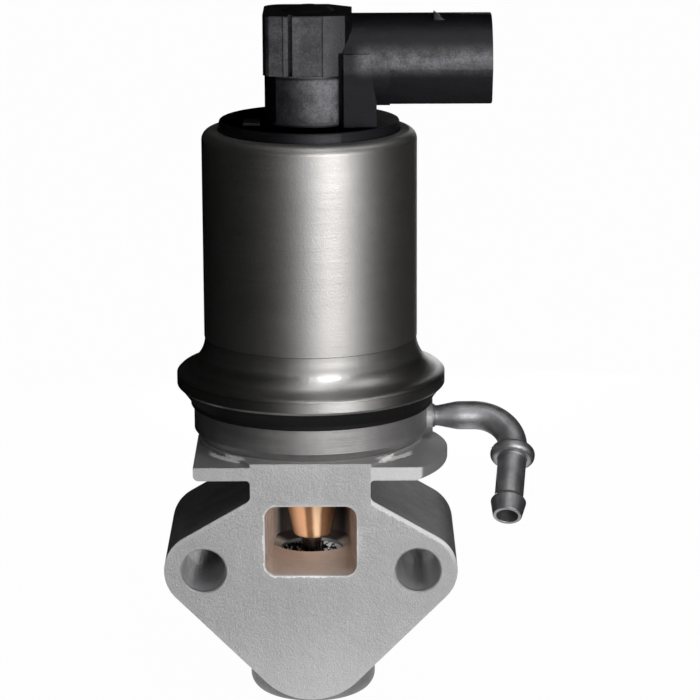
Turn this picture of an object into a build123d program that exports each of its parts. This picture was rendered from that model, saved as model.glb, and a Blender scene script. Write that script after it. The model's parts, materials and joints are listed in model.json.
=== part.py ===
from build123d import *
import os
from math import acos, cos, radians, sin, sqrt

# An exhaust gas recirculation valve worked by a solenoid, in millimetres.
# The origin is the middle of the front mounting face, between the two bolt holes.
# +X points to the connector and the vent pipe, +Y away from the mounting face, +Z up.
# Every round piece of the valve turns about one vertical axis, AXIS_Y behind that face.

# Casting: front flange, neck and boss
AXIS_Y = 25.0
BOLT_SPACING = 43.5
BOLT_HOLE_R = 4.5
EDGE_BREAK = 0.3
LOBE_R = 8.0
FLANK_ANGLE = 45.0
SHOULDER_ANGLE = 30.0
APEX_R = 13.15
NECK_WIDTH = 24.3
NECK_FOOT_R = 1.5
BOSS_R = 13.1
BOSS_BOTTOM_Z = -33.2
BOSS_ROUND = 3.2

# Casting: top plate, the pad on it and the rib that holds it up behind
PLATE_BOTTOM_Z = 18.95
PLATE_THICKNESS = 2.7
PLATE_FRONT_WIDTH = 44.8
PLATE_SIDE_X = 23.6
PLATE_BACK_R = 23.6
EAR_REACH_X = 28.05
EAR_MIDDLE_Y = 17.2
PLATE_ROOT_R = 0.8
PLATE_EDGE_R = 1.1
FACING_ALLOWANCE = 2.0
PAD_HEIGHT = 0.75
PAD_INSET = 1.1
PAD_FRONT_DEPTH = 1.0
RIB_REACH = 9.5
RIB_DROP = 3.8
RIB_TOE_DROP = 1.4
GUIDE_BOSS_R = 9.0
GUIDE_BOSS_DROP = 0.1

# Gas ways
WINDOW_WIDTH = 18.7
WINDOW_HEIGHT = 14.6
WINDOW_BOTTOM_Z = -1.1
WINDOW_CORNER_R = 2.4
WINDOW_BACK_WALL = 3.7
CHAMBER_CLEARANCE = 0.45
CHAMBER_BACK_WIDTH = 14.6
CHAMBER_BACK_R = 5.0
LOWER_BORE_R = 8.8
PORT_R = 7.5
PORT_Z = -17.0

# Seat, head, stem and guide
SEAT_R = 8.0
SEAT_HEIGHT = 5.0
SEAT_BORE_R = 6.2
SEAT_TOP_DROP = 2.2
SEAT_LEDGE = 1.5
SEAT_ENTRY = 1.3
SEAT_ENTRY_SPREAD = 2.0
SEAT_BEVEL = 0.6
SEAT_CONE = 1.0
HEAD_R = 7.6
HEAD_RIM = 1.2
HEAD_HEIGHT = 4.2
HEAD_GAP = 0.05
STEM_R = 2.0
STEM_TOP_Z = 80.0
STEM_CHAMFER = 0.4
GUIDE_R = 5.0
GUIDE_BULB_R = 5.85
GUIDE_TIP_R = 4.0
GUIDE_BULB_LENGTH = 4.0
GUIDE_TIP_Z = 0.2
GUIDE_TIP_ROUND = 0.6
GUIDE_STAND = 2.0
STEM_SEAL_WALL = 0.6
STEM_SEAL_SKIRT = 1.8
STEM_SEAL_LID = 1.0
PLUG_HEIGHT = 4.0
PLUG_WALL = 1.0
PLUG_ROUND = 0.8
PLUG_SET_BACK = 0.4
VALVE_STROKE = 4.5

# Adapter ring and its screws
RING_R = 24.3
RING_HEIGHT = 6.8
RING_WALL = 5.8
RING_FLOOR = 2.5
RING_TOE = 1.3
RING_TOE_HEIGHT = 1.7
SCREW_AZIMUTH = 50.7
SCREW_WALL_GAP = 0.4
SCREW_R = 2.0
SCREW_HEAD_R = 3.5
SCREW_HEAD_HEIGHT = 2.4
SCREW_LENGTH = 8.5
SCREW_SOCKET_R = 1.4
SCREW_SOCKET_DEPTH = 1.4

# Vent pipe and the boss it is pushed into
PIPE_Z = 25.8
PIPE_BOSS_R = 4.3
PIPE_BOSS_STAND = 0.9
PIPE_SPIGOT_R = 2.15
PIPE_SPIGOT_BORE_R = 1.4
PIPE_SPIGOT_STAND = 1.2
PIPE_COLLAR_R = 2.45
PIPE_COLLAR_LENGTH = 0.5
PIPE_FLARE_LENGTH = 4.0
PIPE_FLARE_ROUND = 8.0
PIPE_R = 2.95
PIPE_BORE_R = 2.2
PIPE_STRAIGHT = 8.55
PIPE_BEND_R = 8.0
PIPE_BEND_ARC = 96.0
PIPE_TILT = 39.0
PIPE_BEAD_R = 4.6
PIPE_BEAD_LENGTH = 2.6
PIPE_BEAD_ROUND = 1.1
PIPE_TAIL = 16.7
PIPE_BARB_R = 3.65
PIPE_BARB_LENGTH = 4.4
PIPE_BARB_SHOULDER = 0.9
PIPE_TIP_R = 2.95
PIPE_TIP_ROUND = 0.3

# Body seal
SEAL_OVERHANG = 0.65
SEAL_LIP = 0.9
SEAL_RIM_MARGIN = 0.65
SEAL_BORE_STEP = 0.5
SEAL_HEIGHT = 3.8
SEAL_NOTCH_GAP = 0.3

# Solenoid can
CAN_R = 22.0
CAN_WALL = 1.0
CAN_RIM_R = 27.75
CAN_RIM_HEIGHT = 3.3
CAN_RIM_ROUND = 0.55
CAN_CRIMP = 0.75
CAN_CRIMP_OVERLAP = 0.8
CAN_FLARE_TOP = 10.5
CAN_STEP = 0.15
CAN_TOP_Z = 86.4
CAN_ROLL_R = 2.0
CAN_LIP_WIDTH = 3.35

# Magnet: base plate, core, sleeve, bobbin, winding, top yoke and armature
PLATE_EDGE_HEIGHT = 1.6
HUB_CLEARANCE = 0.5
HUB_HEIGHT = 8.5
SPIGOT_WALL = 1.85
SPIGOT_DEPTH = 4.4
POCKET_R = 9.5
POCKET_DEPTH = 5.5
CORE_R = 9.0
CORE_HEIGHT = 13.5
CORE_SHANK_R = 6.0
CORE_BORE_R = 2.4
CORE_CONE_TOP_R = 8.2
CORE_CONE_FOOT_R = 5.6
CORE_CONE_DEPTH = 4.0
AIR_GAP_REST = 0.5
ARMATURE_TOP_Z = 79.0
CONE_CLEARANCE = 0.2
SLEEVE_WALL = 0.6
BOBBIN_WALL = 1.0
BOBBIN_FLANGE = 1.2
BOBBIN_TOP_Z = 80.0
WINDING_MARGIN = 1.4
YOKE_THICKNESS = 2.0

# Return spring, its seat, retainer and clip
SPRING_SEAT_R = 8.6
SPRING_SEAT_THICKNESS = 0.6
RETURN_WIRE_R = 0.55
RETURN_COIL_R = 6.9
RETURN_TURNS = 4
SPRING_SIDES = 8
RETAINER_R = 8.4
RETAINER_THICKNESS = 1.2
RETAINER_Z = 35.8
CLIP_R = 3.6
CLIP_THICKNESS = 0.8
CLIP_GROOVE = 0.35

# Connector cap
CAP_FLANGE_HEIGHT = 3.2
CAP_PUCK_GAP = 0.25
CAP_PUCK_HEIGHT = 3.0
CAP_PUCK_ROUND = 0.4
CAP_RECESS_R = 12.0
CAP_RECESS_DEPTH = 2.0
CAP_SEAL_R = 0.65
CAP_SEAL_SIDES = 12
CAP_SEAL_GROOVE_Z = 0.8
TOWER_TOP_Z = 110.6
TOWER_LEFT_X = -9.1
TOWER_FRONT = 9.0
TOWER_BACK = 9.3
TOWER_CORNER_R = 3.8
BLOCK_HEIGHT = 10.1
BLOCK_LEFT_X = -6.5
BLOCK_RIGHT_X = 6.05
BLOCK_FRONT_R = 10.3
BLOCK_BASE_LEFT_X = -8.9
BLOCK_BASE_FRONT = 7.4
BLOCK_BASE_CUT = (2.4, 4.4)
BLOCK_PLINTH = 0.7
CHEEK_LEFT_X = 7.1
CHEEK_RIGHT_X = 9.2
CHEEK_FRONT = 11.0
CHEEK_HEIGHT = 14.6
GUSSET_RIGHT_X = 12.4
GUSSET_FRONT = 10.6
GUSSET_FOOT_X = 13.7
GUSSET_FOOT_Z = 93.3
GUSSET_KNEE_Z = 99.8
SLOT_DEPTH = 5.5
DISC_PAD = (3.4, 5.0, 0.5)
DISC_PAD_AT = (-11.5, -5.4)

# The front of the tower from left to right: distance from its left side, distance behind its front
TOWER_FRONT_LINE = [
    (0.0, 1.4), (1.3, 0.0), (4.2, -0.3), (4.2, -0.8), (5.1, -0.8), (5.1, 2.2), (6.0, 2.2), (6.0, -0.8),
    (11.7, -0.8), (11.7, -0.2), (12.1, -0.2), (12.1, -0.6), (16.5, -0.1), (17.2, 0.8), (17.9, 2.4),
]
TOWER_CUT_DEEP = 4.3
TOWER_CUT_WIDE = 4.8

# Connector barrel
BARREL_END_X = 37.0
BARREL_Z = 99.7
BARREL_R = 10.2
BARREL_BOTTOM_Z = 92.25
BARREL_FOOT_HALF = 6.6
BARREL_FOOT_R = 2.0
BARREL_WALL = 1.7
BARREL_KEY_X = 16.4
BARREL_EDGE_R = 0.4
BARREL_FLOOR_X = 17.5
LATCH_X = 25.2
LATCH_LENGTH = 2.7
LATCH_FRONT = 4.2
LATCH_WIDTH = 1.8
LATCH_RISE = 0.9
LATCH_ROOT = 2.6
LATCH_SLOPE = 1.9
PIN_COUNT = 5
PIN_PITCH = 3.2
PIN_WIDTH = 1.5
PIN_THICKNESS = 0.8
PIN_START_X = 12.5
PIN_END_X = 31.0

# Position sensor in the tower
SENSOR_BORE_R = 5.3
SENSOR_FLOOR = 1.0
PLUNGER_R = 1.9
PLUNGER_GAP = 0.1
PLUNGER_TOP_Z = 98.0
PLUNGER_FLANGE_R = 3.9
PLUNGER_FLANGE_Z = 94.6
PLUNGER_FLANGE_THICKNESS = 1.4
SENSOR_WIRE_R = 0.25
SENSOR_COIL_R = 3.1
SENSOR_TURNS = 7
LID_THICKNESS = 3.0
LID_DOME = 1.2
TRACK_THICKNESS = 0.8
TRACK_WIDTH = 7.0
TRACK_HEIGHT = 14.0
TRACK_X = 4.5
WIPER_THICKNESS = 0.3
WIPER_WIDTH = 2.4
WIPER_LENGTH = 3.0

# Fits
PRESS_GAP = 0.02
RUNNING_GAP = 0.05
SLIP_GAP = 0.1
CASE_GAP = 0.3

# Heights and places that follow from the sizes above
BOLT_X = BOLT_SPACING / 2
NECK_HALF = NECK_WIDTH / 2
PLATE_TOP_Z = PLATE_BOTTOM_Z + PLATE_THICKNESS
PAD_TOP_Z = PLATE_TOP_Z + PAD_HEIGHT
WINDOW_TOP_Z = WINDOW_BOTTOM_Z + WINDOW_HEIGHT
WINDOW_BACK_Y = AXIS_Y + GUIDE_BULB_R + CHAMBER_CLEARANCE
BODY_DEPTH = WINDOW_BACK_Y + WINDOW_BACK_WALL
SEAT_TOP_Z = WINDOW_BOTTOM_Z - SEAT_TOP_DROP
SEAT_BOTTOM_Z = SEAT_TOP_Z - SEAT_HEIGHT
RING_TOP_Z = PAD_TOP_Z + RING_HEIGHT
RING_FLOOR_Z = PAD_TOP_Z + RING_FLOOR
GUIDE_BOSS_TOP_Z = RING_FLOOR_Z - GUIDE_BOSS_DROP
GUIDE_TOP_Z = GUIDE_BOSS_TOP_Z + GUIDE_STAND
RING_BORE_R = RING_R - RING_WALL
PAD_R = RING_R - PAD_INSET
PIPE_BOSS_X = RING_R + PIPE_BOSS_STAND
PIPE_SPIGOT_END_X = PIPE_BOSS_X + PIPE_SPIGOT_STAND
PIPE_BEND_X = PIPE_BOSS_X + PIPE_STRAIGHT
SEAL_TOP_Z = RING_TOP_Z + SEAL_HEIGHT
SEAL_R = RING_R + SEAL_OVERHANG
SEAL_BORE_R = RING_BORE_R + SEAL_BORE_STEP
SEAL_TOP_R = CAN_RIM_R - SEAL_RIM_MARGIN
RIM_INNER_R = CAN_RIM_R - CAN_WALL
CAN_INNER_R = CAN_R - CAN_WALL
CAN_MOUTH_R = CAN_R - CAN_LIP_WIDTH
CAP_PUCK_R = CAN_MOUTH_R - CAP_PUCK_GAP
HUB_R = CAN_INNER_R - HUB_CLEARANCE
BASE_EDGE_TOP_Z = SEAL_TOP_Z + CAN_CRIMP + PLATE_EDGE_HEIGHT
HUB_TOP_Z = SEAL_TOP_Z + HUB_HEIGHT
POCKET_TOP_Z = SEAL_TOP_Z + POCKET_DEPTH
CORE_TOP_Z = HUB_TOP_Z + CORE_HEIGHT
SLEEVE_BORE_R = CORE_R + RUNNING_GAP
SLEEVE_R = SLEEVE_BORE_R + SLEEVE_WALL
BOBBIN_BORE_R = SLEEVE_R + SLIP_GAP
BOBBIN_BOTTOM_Z = HUB_TOP_Z + SLIP_GAP
COIL_R = CAN_INNER_R - CASE_GAP
CAN_LIP_Z = CAN_TOP_Z - CAN_WALL
PUCK_TOP_Z = CAN_LIP_Z + CAP_PUCK_HEIGHT
CAP_BOTTOM_Z = CAN_LIP_Z - CAP_FLANGE_HEIGHT
BLOCK_TOP_Z = PUCK_TOP_Z + BLOCK_HEIGHT
SENSOR_FLOOR_Z = PUCK_TOP_Z + SENSOR_FLOOR
SENSOR_ROOF_Z = TOWER_TOP_Z - LID_THICKNESS


def rounded(points, rounds=()):
    """A flat face with straight sides; rounds holds (corner number, radius) pairs."""
    face = make_face(Polyline(*points, close=True).edges())
    for corner, radius in rounds:
        spot = Vector(points[corner][0], points[corner][1], 0)
        face = fillet(face.vertices().sort_by_distance(spot)[0], radius)
    return face


def turned(points, rounds=()):
    """A solid turned about the Z axis from an outline of (radius, height) points."""
    return revolve(Plane.XZ * rounded(points, rounds), Axis.Z)


def on_axis(shape):
    """The shape moved from the origin on to the valve axis."""
    return Pos(0, AXIS_Y, 0) * shape


def tube(outer, inner, bottom, top):
    """A plain ring about the valve axis."""
    return on_axis(turned([(inner, bottom), (outer, bottom), (outer, top), (inner, top)]))


def rod(radius, bottom, top, x=0.0, y=AXIS_Y):
    """A plain upright cylinder."""
    return Pos(x, y, (bottom + top) / 2) * Cylinder(radius, top - bottom)


def block(x0, x1, y0, y1, z0, z1):
    """A box between two corners."""
    return Pos((x0 + x1) / 2, (y0 + y1) / 2, (z0 + z1) / 2) * Box(x1 - x0, y1 - y0, z1 - z0)


def from_front(face, depth, y=0.0):
    """A face drawn in X and Z, extruded backwards from the plane at y."""
    return extrude(Plane.XZ.offset(-y) * face, amount=-depth)


def along_x(shape, x, y, z):
    """A shape turned about Z, laid down so that its height runs along +X."""
    return Pos(x, y, z) * Rot(Y=90) * shape


def along_y(shape, x, y, z):
    """A shape turned about Z, laid down so that its height runs along +Y."""
    return Pos(x, y, z) * Rot(X=-90) * shape


def coil_spring(wire_r, coil_r, turns, bottom, top):
    """A spring of many-sided wire about the valve axis whose wire ends lie inside the two heights."""
    rise = top - bottom - 2 * wire_r
    path = Helix(pitch=rise / turns, height=rise, radius=coil_r)
    section = Plane(origin=path @ 0, z_dir=path % 0) * RegularPolygon(wire_r, SPRING_SIDES)
    wire = sweep(section, path=path)
    return Pos(0, AXIS_Y, bottom + wire_r) * wire


def tangent_offset(angle):
    """How far a line with this normal angle lies from the origin when it touches the right lobe."""
    return BOLT_X * cos(radians(angle)) + LOBE_R


def crossing(angle_a, angle_b):
    """Where the two lobe tangents with these normal angles cross."""
    a, b = radians(angle_a), radians(angle_b)
    p, q = tangent_offset(angle_a), tangent_offset(angle_b)
    spread = sin(b - a)
    return (p * sin(b) - q * sin(a)) / spread, (q * cos(a) - p * cos(b)) / spread


def flange_outline():
    """The casting from the front: two lobes, a round apex below and shoulders up to the neck."""
    flank = FLANK_ANGLE - 90
    shoulder = 90 - SHOULDER_ANGLE
    tip_x, tip_z = crossing(flank, shoulder)
    apex_z = tangent_offset(flank) / sin(radians(flank))
    across = NECK_HALF * cos(radians(shoulder))
    foot_z = (tangent_offset(shoulder) - across) / sin(radians(shoulder))
    root_x = NECK_HALF + 2 * PLATE_ROOT_R
    root_z = PLATE_BOTTOM_Z + PLATE_ROOT_R
    right = [
        (tip_x, tip_z), (NECK_HALF, foot_z), (NECK_HALF, PLATE_BOTTOM_Z),
        (root_x, PLATE_BOTTOM_Z), (root_x, root_z),
    ]
    left = [(-x, z) for x, z in reversed(right)]
    radii = [LOBE_R, NECK_FOOT_R, PLATE_ROOT_R]
    rounds = [(0, APEX_R)]
    rounds += [(1 + i, radius) for i, radius in enumerate(radii)]
    rounds += [(len(left) * 2 - i, radius) for i, radius in enumerate(radii)]
    return rounded([(0, apex_z)] + right + left, rounds)


def plate_plan():
    """The top plate from above: straight front, square left side, bulging ear on the right."""
    front = PLATE_FRONT_WIDTH / 2
    meet_y = AXIS_Y + sqrt(PLATE_BACK_R ** 2 - front ** 2)
    edge = [
        Polyline((-PLATE_SIDE_X, AXIS_Y), (-PLATE_SIDE_X, -FACING_ALLOWANCE), (front, -FACING_ALLOWANCE),
                 (front, 0)),
        ThreePointArc((front, 0), (EAR_REACH_X, EAR_MIDDLE_Y), (front, meet_y)),
        ThreePointArc((front, meet_y), (0, AXIS_Y + PLATE_BACK_R), (-PLATE_BACK_R, AXIS_Y)),
    ]
    return make_face(edge)


def top_plate():
    """The plate as cast, with rounded lower edges, then faced off level with the front."""
    plate = Pos(0, 0, PLATE_BOTTOM_Z) * extrude(plate_plan(), amount=PLATE_THICKNESS)
    plate = fillet(plate.edges().group_by(Axis.Z)[0], PLATE_EDGE_R)
    return plate & block(-EAR_REACH_X, EAR_REACH_X, 0, 2 * AXIS_Y, PLATE_BOTTOM_Z, PLATE_TOP_Z)


def pad_plan():
    """The raised pad under the adapter ring: the front edge of the neck widening into a circle."""
    front = Pos(0, PAD_FRONT_DEPTH / 2) * Rectangle(NECK_WIDTH, PAD_FRONT_DEPTH)
    circle = Pos(0, AXIS_Y) * Circle(PAD_R)
    return make_hull(front.edges() + circle.edges())


def rear_rib():
    """The rib behind the neck that holds up the overhanging top plate, as a side outline."""
    start = BODY_DEPTH - RIB_REACH
    end = BODY_DEPTH + RIB_REACH
    side = rounded([
        (start, PLATE_BOTTOM_Z), (start, PLATE_BOTTOM_Z - RIB_DROP),
        (BODY_DEPTH, PLATE_BOTTOM_Z - RIB_DROP), (end, PLATE_BOTTOM_Z - RIB_TOE_DROP),
        (end, PLATE_BOTTOM_Z),
    ])
    return Pos(-NECK_HALF, 0, 0) * extrude(Plane.YZ * side, amount=NECK_WIDTH)


def screw_places():
    """The four adapter screws, as (x, y), with their heads just inside the ring's bore."""
    circle_r = RING_BORE_R - SCREW_HEAD_R - SCREW_WALL_GAP
    across = circle_r * cos(radians(SCREW_AZIMUTH))
    back = circle_r * sin(radians(SCREW_AZIMUTH))
    return [(sx * across, AXIS_Y + sy * back) for sx in (-1, 1) for sy in (-1, 1)]


def bolt_bore(x):
    """One through hole for a mounting bolt, with broken edges at both faces."""
    wide = BOLT_HOLE_R + EDGE_BREAK
    outline = [
        (0, 0), (wide, 0), (BOLT_HOLE_R, EDGE_BREAK), (BOLT_HOLE_R, BODY_DEPTH - EDGE_BREAK),
        (wide, BODY_DEPTH), (0, BODY_DEPTH),
    ]
    return along_y(turned(outline), x, 0, 0)


def gas_window():
    """The upper chamber: a rounded window in the front face that narrows back past the valve axis."""
    middle_z = (WINDOW_BOTTOM_Z + WINDOW_TOP_Z) / 2
    front = Pos(0, middle_z) * RectangleRounded(WINDOW_WIDTH, WINDOW_HEIGHT, WINDOW_CORNER_R)
    deep = from_front(front, WINDOW_BACK_Y)
    half = WINDOW_WIDTH / 2
    back_half = CHAMBER_BACK_WIDTH / 2
    plan = rounded(
        [(-half, 0), (half, 0), (back_half, WINDOW_BACK_Y), (-back_half, WINDOW_BACK_Y)],
        [(2, CHAMBER_BACK_R), (3, CHAMBER_BACK_R)],
    )
    return deep & extrude(Pos(0, 0, WINDOW_BOTTOM_Z) * plan, amount=WINDOW_HEIGHT)


def lower_bore():
    """The lower chamber and the seat pocket from below, opening into the upper chamber with a funnel."""
    pocket = SEAT_R + PRESS_GAP
    ledge = SEAT_R - SEAT_LEDGE
    funnel = SEAT_ENTRY_SPREAD / SEAT_ENTRY
    floor = WINDOW_BOTTOM_Z + EDGE_BREAK
    return on_axis(turned([
        (0, BOSS_BOTTOM_Z), (LOWER_BORE_R, BOSS_BOTTOM_Z), (LOWER_BORE_R, SEAT_BOTTOM_Z),
        (pocket, SEAT_BOTTOM_Z), (pocket, SEAT_TOP_Z), (ledge, SEAT_TOP_Z),
        (ledge, WINDOW_BOTTOM_Z - SEAT_ENTRY), (ledge + SEAT_ENTRY_SPREAD + EDGE_BREAK * funnel, floor),
        (0, floor),
    ]))


def valve_body():
    """The casting with its bores."""
    body = from_front(flange_outline(), BODY_DEPTH)
    boss = turned(
        [(0, BOSS_BOTTOM_Z), (BOSS_R, BOSS_BOTTOM_Z), (BOSS_R, PLATE_BOTTOM_Z), (0, PLATE_BOTTOM_Z)],
        [(1, BOSS_ROUND)],
    )
    reach = BODY_DEPTH - AXIS_Y
    body += on_axis(boss) & block(-BOSS_R, BOSS_R, AXIS_Y - BOSS_R, AXIS_Y + reach,
                                  BOSS_BOTTOM_Z, PLATE_BOTTOM_Z)
    body += top_plate()
    body += Pos(0, 0, PLATE_TOP_Z) * extrude(pad_plan(), amount=PAD_HEIGHT)
    body += rear_rib()
    body += rod(GUIDE_BOSS_R, PLATE_TOP_Z, GUIDE_BOSS_TOP_Z)
    for x in (-BOLT_X, BOLT_X):
        body -= bolt_bore(x)
    body -= gas_window()
    body -= lower_bore()
    body -= rod(GUIDE_R + PRESS_GAP, WINDOW_TOP_Z, GUIDE_BOSS_TOP_Z)
    body -= along_y(Pos(0, 0, reach / 2) * Cylinder(PORT_R, reach), 0, AXIS_Y, PORT_Z)
    for x, y in screw_places():
        tip = RING_FLOOR_Z - SCREW_LENGTH
        body -= rod(SCREW_R + PRESS_GAP, tip, PAD_TOP_Z, x, y)
    return body


def seat_ring():
    """The hardened ring that the head closes on from below."""
    return on_axis(turned([
        (SEAT_BORE_R + SEAT_CONE, SEAT_BOTTOM_Z), (SEAT_R, SEAT_BOTTOM_Z), (SEAT_R, SEAT_TOP_Z),
        (SEAT_BORE_R + SEAT_BEVEL, SEAT_TOP_Z), (SEAT_BORE_R, SEAT_TOP_Z - SEAT_BEVEL),
        (SEAT_BORE_R, SEAT_BOTTOM_Z + SEAT_CONE),
    ]))


def valve_head():
    """The poppet: a cone that closes in the seat, a rim below it and a dished underside."""
    top = SEAT_BOTTOM_Z + SEAT_CONE - HEAD_GAP
    spread = HEAD_R - SEAT_BORE_R
    rim_z = top - spread
    bore = STEM_R + PRESS_GAP
    return on_axis(turned([
        (bore, top), (SEAT_BORE_R, top), (HEAD_R, rim_z), (HEAD_R, rim_z - HEAD_RIM),
        (STEM_R * 2, top - HEAD_HEIGHT), (bore, top - HEAD_HEIGHT),
    ]))


def valve_stem():
    """The rod from the head to the top of the armature, with a groove for the retainer clip."""
    bottom = SEAT_BOTTOM_Z + SEAT_CONE - HEAD_GAP - HEAD_HEIGHT
    groove_z = RETAINER_Z + RETAINER_THICKNESS
    neck = STEM_R - CLIP_GROOVE
    return on_axis(turned([
        (0, bottom), (STEM_R, bottom), (STEM_R, groove_z), (neck, groove_z),
        (neck, groove_z + CLIP_THICKNESS), (STEM_R, groove_z + CLIP_THICKNESS),
        (STEM_R, STEM_TOP_Z - STEM_CHAMFER), (STEM_R - STEM_CHAMFER, STEM_TOP_Z), (0, STEM_TOP_Z),
    ]))


def stem_guide():
    """The bronze bush: a tapered nose in the gas stream and a shank pressed through the roof."""
    bore = STEM_R + RUNNING_GAP
    bulb_z = WINDOW_TOP_Z - GUIDE_BULB_LENGTH
    return on_axis(turned([
        (bore, GUIDE_TIP_Z), (GUIDE_TIP_R, GUIDE_TIP_Z), (GUIDE_BULB_R, bulb_z),
        (GUIDE_BULB_R, WINDOW_TOP_Z), (GUIDE_R, WINDOW_TOP_Z), (GUIDE_R, GUIDE_TOP_Z), (bore, GUIDE_TOP_Z),
    ], [(1, GUIDE_TIP_ROUND)]))


def stem_seal():
    """The cap over the top of the guide that scrapes the stem."""
    outer = GUIDE_R + STEM_SEAL_WALL
    bore = STEM_R + RUNNING_GAP
    inside = GUIDE_R + PRESS_GAP
    under = GUIDE_TOP_Z + PRESS_GAP
    top = GUIDE_TOP_Z + STEM_SEAL_LID
    bottom = GUIDE_TOP_Z - STEM_SEAL_SKIRT
    return on_axis(turned([
        (inside, bottom), (outer, bottom), (outer, top), (bore, top), (bore, under), (inside, under),
    ]))


def bottom_plug():
    """The pressed steel cup that closes the lower bore."""
    outer = LOWER_BORE_R - PRESS_GAP
    inner = outer - PLUG_WALL
    bottom = BOSS_BOTTOM_Z + PLUG_SET_BACK
    top = bottom + PLUG_HEIGHT
    return on_axis(turned([
        (0, top - PLUG_WALL), (inner, top - PLUG_WALL), (inner, bottom), (outer, bottom),
        (outer, top), (0, top),
    ], [(4, PLUG_ROUND)]))


def adapter_ring():
    """The turned ring on the casting, with a floor for its screws and a boss for the vent pipe."""
    ring = on_axis(turned([
        (GUIDE_BOSS_R + SLIP_GAP, PAD_TOP_Z), (RING_R - RING_TOE, PAD_TOP_Z),
        (RING_R, PAD_TOP_Z + RING_TOE_HEIGHT), (RING_R, RING_TOP_Z), (RING_BORE_R, RING_TOP_Z),
        (RING_BORE_R, RING_FLOOR_Z), (GUIDE_BOSS_R + SLIP_GAP, RING_FLOOR_Z),
    ]))
    length = PIPE_BOSS_X - RING_BORE_R
    boss = along_x(Pos(0, 0, length / 2) * Cylinder(PIPE_BOSS_R, length), RING_BORE_R, AXIS_Y, PIPE_Z)
    above = PIPE_Z + PIPE_BOSS_R
    boss &= block(RING_BORE_R, PIPE_BOSS_X, AXIS_Y - PIPE_BOSS_R, AXIS_Y + PIPE_BOSS_R, PAD_TOP_Z, above)
    ring += boss - rod(RING_BORE_R, PAD_TOP_Z, above)
    hole = PIPE_SPIGOT_R + PRESS_GAP
    reach = PIPE_BOSS_X - GUIDE_BOSS_R
    ring -= along_x(Pos(0, 0, reach / 2) * Cylinder(hole, reach), GUIDE_BOSS_R, AXIS_Y, PIPE_Z) & block(
        RING_BORE_R - RING_FLOOR, PIPE_BOSS_X, 0, 2 * AXIS_Y, RING_FLOOR_Z - RING_FLOOR, above)
    for x, y in screw_places():
        ring -= rod(SCREW_R + SLIP_GAP, PAD_TOP_Z, RING_FLOOR_Z, x, y)
    return ring


def ring_screws():
    """Four socket-head screws through the floor of the adapter ring."""
    screws = []
    for x, y in screw_places():
        top = RING_FLOOR_Z + SCREW_HEAD_HEIGHT
        screw = rod(SCREW_R, RING_FLOOR_Z - SCREW_LENGTH, RING_FLOOR_Z, x, y)
        screw += rod(SCREW_HEAD_R, RING_FLOOR_Z, top, x, y)
        screw -= rod(SCREW_SOCKET_R, top - SCREW_SOCKET_DEPTH, top, x, y)
        screws.append(screw.solid())
    return Compound(children=screws)


def vent_pipe():
    """A bent pipe: thin spigot, flare, quarter bend, bead and a barbed tail."""
    down = Vector(0, -cos(radians(PIPE_TILT)), -sin(radians(PIPE_TILT)))
    start_x = RING_BORE_R - RUNNING_GAP
    full_x = PIPE_SPIGOT_END_X + PIPE_FLARE_LENGTH
    collar_x = PIPE_BOSS_X + PIPE_COLLAR_LENGTH
    spigot = turned([
        (PIPE_SPIGOT_BORE_R, start_x), (PIPE_SPIGOT_R, start_x), (PIPE_SPIGOT_R, PIPE_BOSS_X),
        (PIPE_COLLAR_R, PIPE_BOSS_X), (PIPE_COLLAR_R, collar_x), (PIPE_SPIGOT_R, collar_x),
        (PIPE_SPIGOT_R, PIPE_SPIGOT_END_X), (PIPE_R, full_x), (PIPE_R, PIPE_BEND_X),
        (PIPE_BORE_R, PIPE_BEND_X), (PIPE_BORE_R, full_x), (PIPE_SPIGOT_BORE_R, PIPE_SPIGOT_END_X),
    ], [(7, PIPE_FLARE_ROUND)])
    pipe = along_x(spigot, 0, AXIS_Y, PIPE_Z)
    bend_start = Vector(PIPE_BEND_X, AXIS_Y, PIPE_Z)
    centre = bend_start + down * PIPE_BEND_R
    section = Plane(origin=bend_start, z_dir=(1, 0, 0)) * (Circle(PIPE_R) - Circle(PIPE_BORE_R))
    turn = Axis(centre, Vector(1, 0, 0).cross(down))
    pipe += revolve(section, turn, revolution_arc=PIPE_BEND_ARC)
    ahead = cos(radians(PIPE_BEND_ARC))
    across = sin(radians(PIPE_BEND_ARC))
    bend_end = centre + Vector(across, 0, 0) * PIPE_BEND_R - down * (PIPE_BEND_R * ahead)
    tail_at = Plane(origin=bend_end, z_dir=Vector(ahead, 0, 0) + down * across)
    barb_z = PIPE_TAIL - PIPE_BARB_LENGTH
    tail = turned([
        (PIPE_BORE_R, 0), (PIPE_R, 0), (PIPE_BEAD_R, 0), (PIPE_BEAD_R, PIPE_BEAD_LENGTH),
        (PIPE_R, PIPE_BEAD_LENGTH), (PIPE_R, barb_z), (PIPE_BARB_R, barb_z + PIPE_BARB_SHOULDER),
        (PIPE_TIP_R, PIPE_TAIL), (PIPE_BORE_R, PIPE_TAIL),
    ], [(2, PIPE_BEAD_ROUND), (3, PIPE_BEAD_ROUND), (7, PIPE_TIP_ROUND)])
    return pipe + tail_at * tail


def body_seal():
    """The moulded seal between the adapter ring and the solenoid, notched for the pipe boss."""
    seal = on_axis(turned([
        (SEAL_BORE_R, RING_TOP_Z), (SEAL_R, RING_TOP_Z), (SEAL_R, RING_TOP_Z + SEAL_LIP),
        (SEAL_TOP_R, SEAL_TOP_Z), (SEAL_BORE_R, SEAL_TOP_Z),
    ]))
    notch_r = PIPE_BOSS_R + SEAL_NOTCH_GAP
    length = CAN_RIM_R - GUIDE_BOSS_R
    return seal - along_x(Pos(0, 0, length / 2) * Cylinder(notch_r, length), GUIDE_BOSS_R, AXIS_Y, PIPE_Z)


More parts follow.
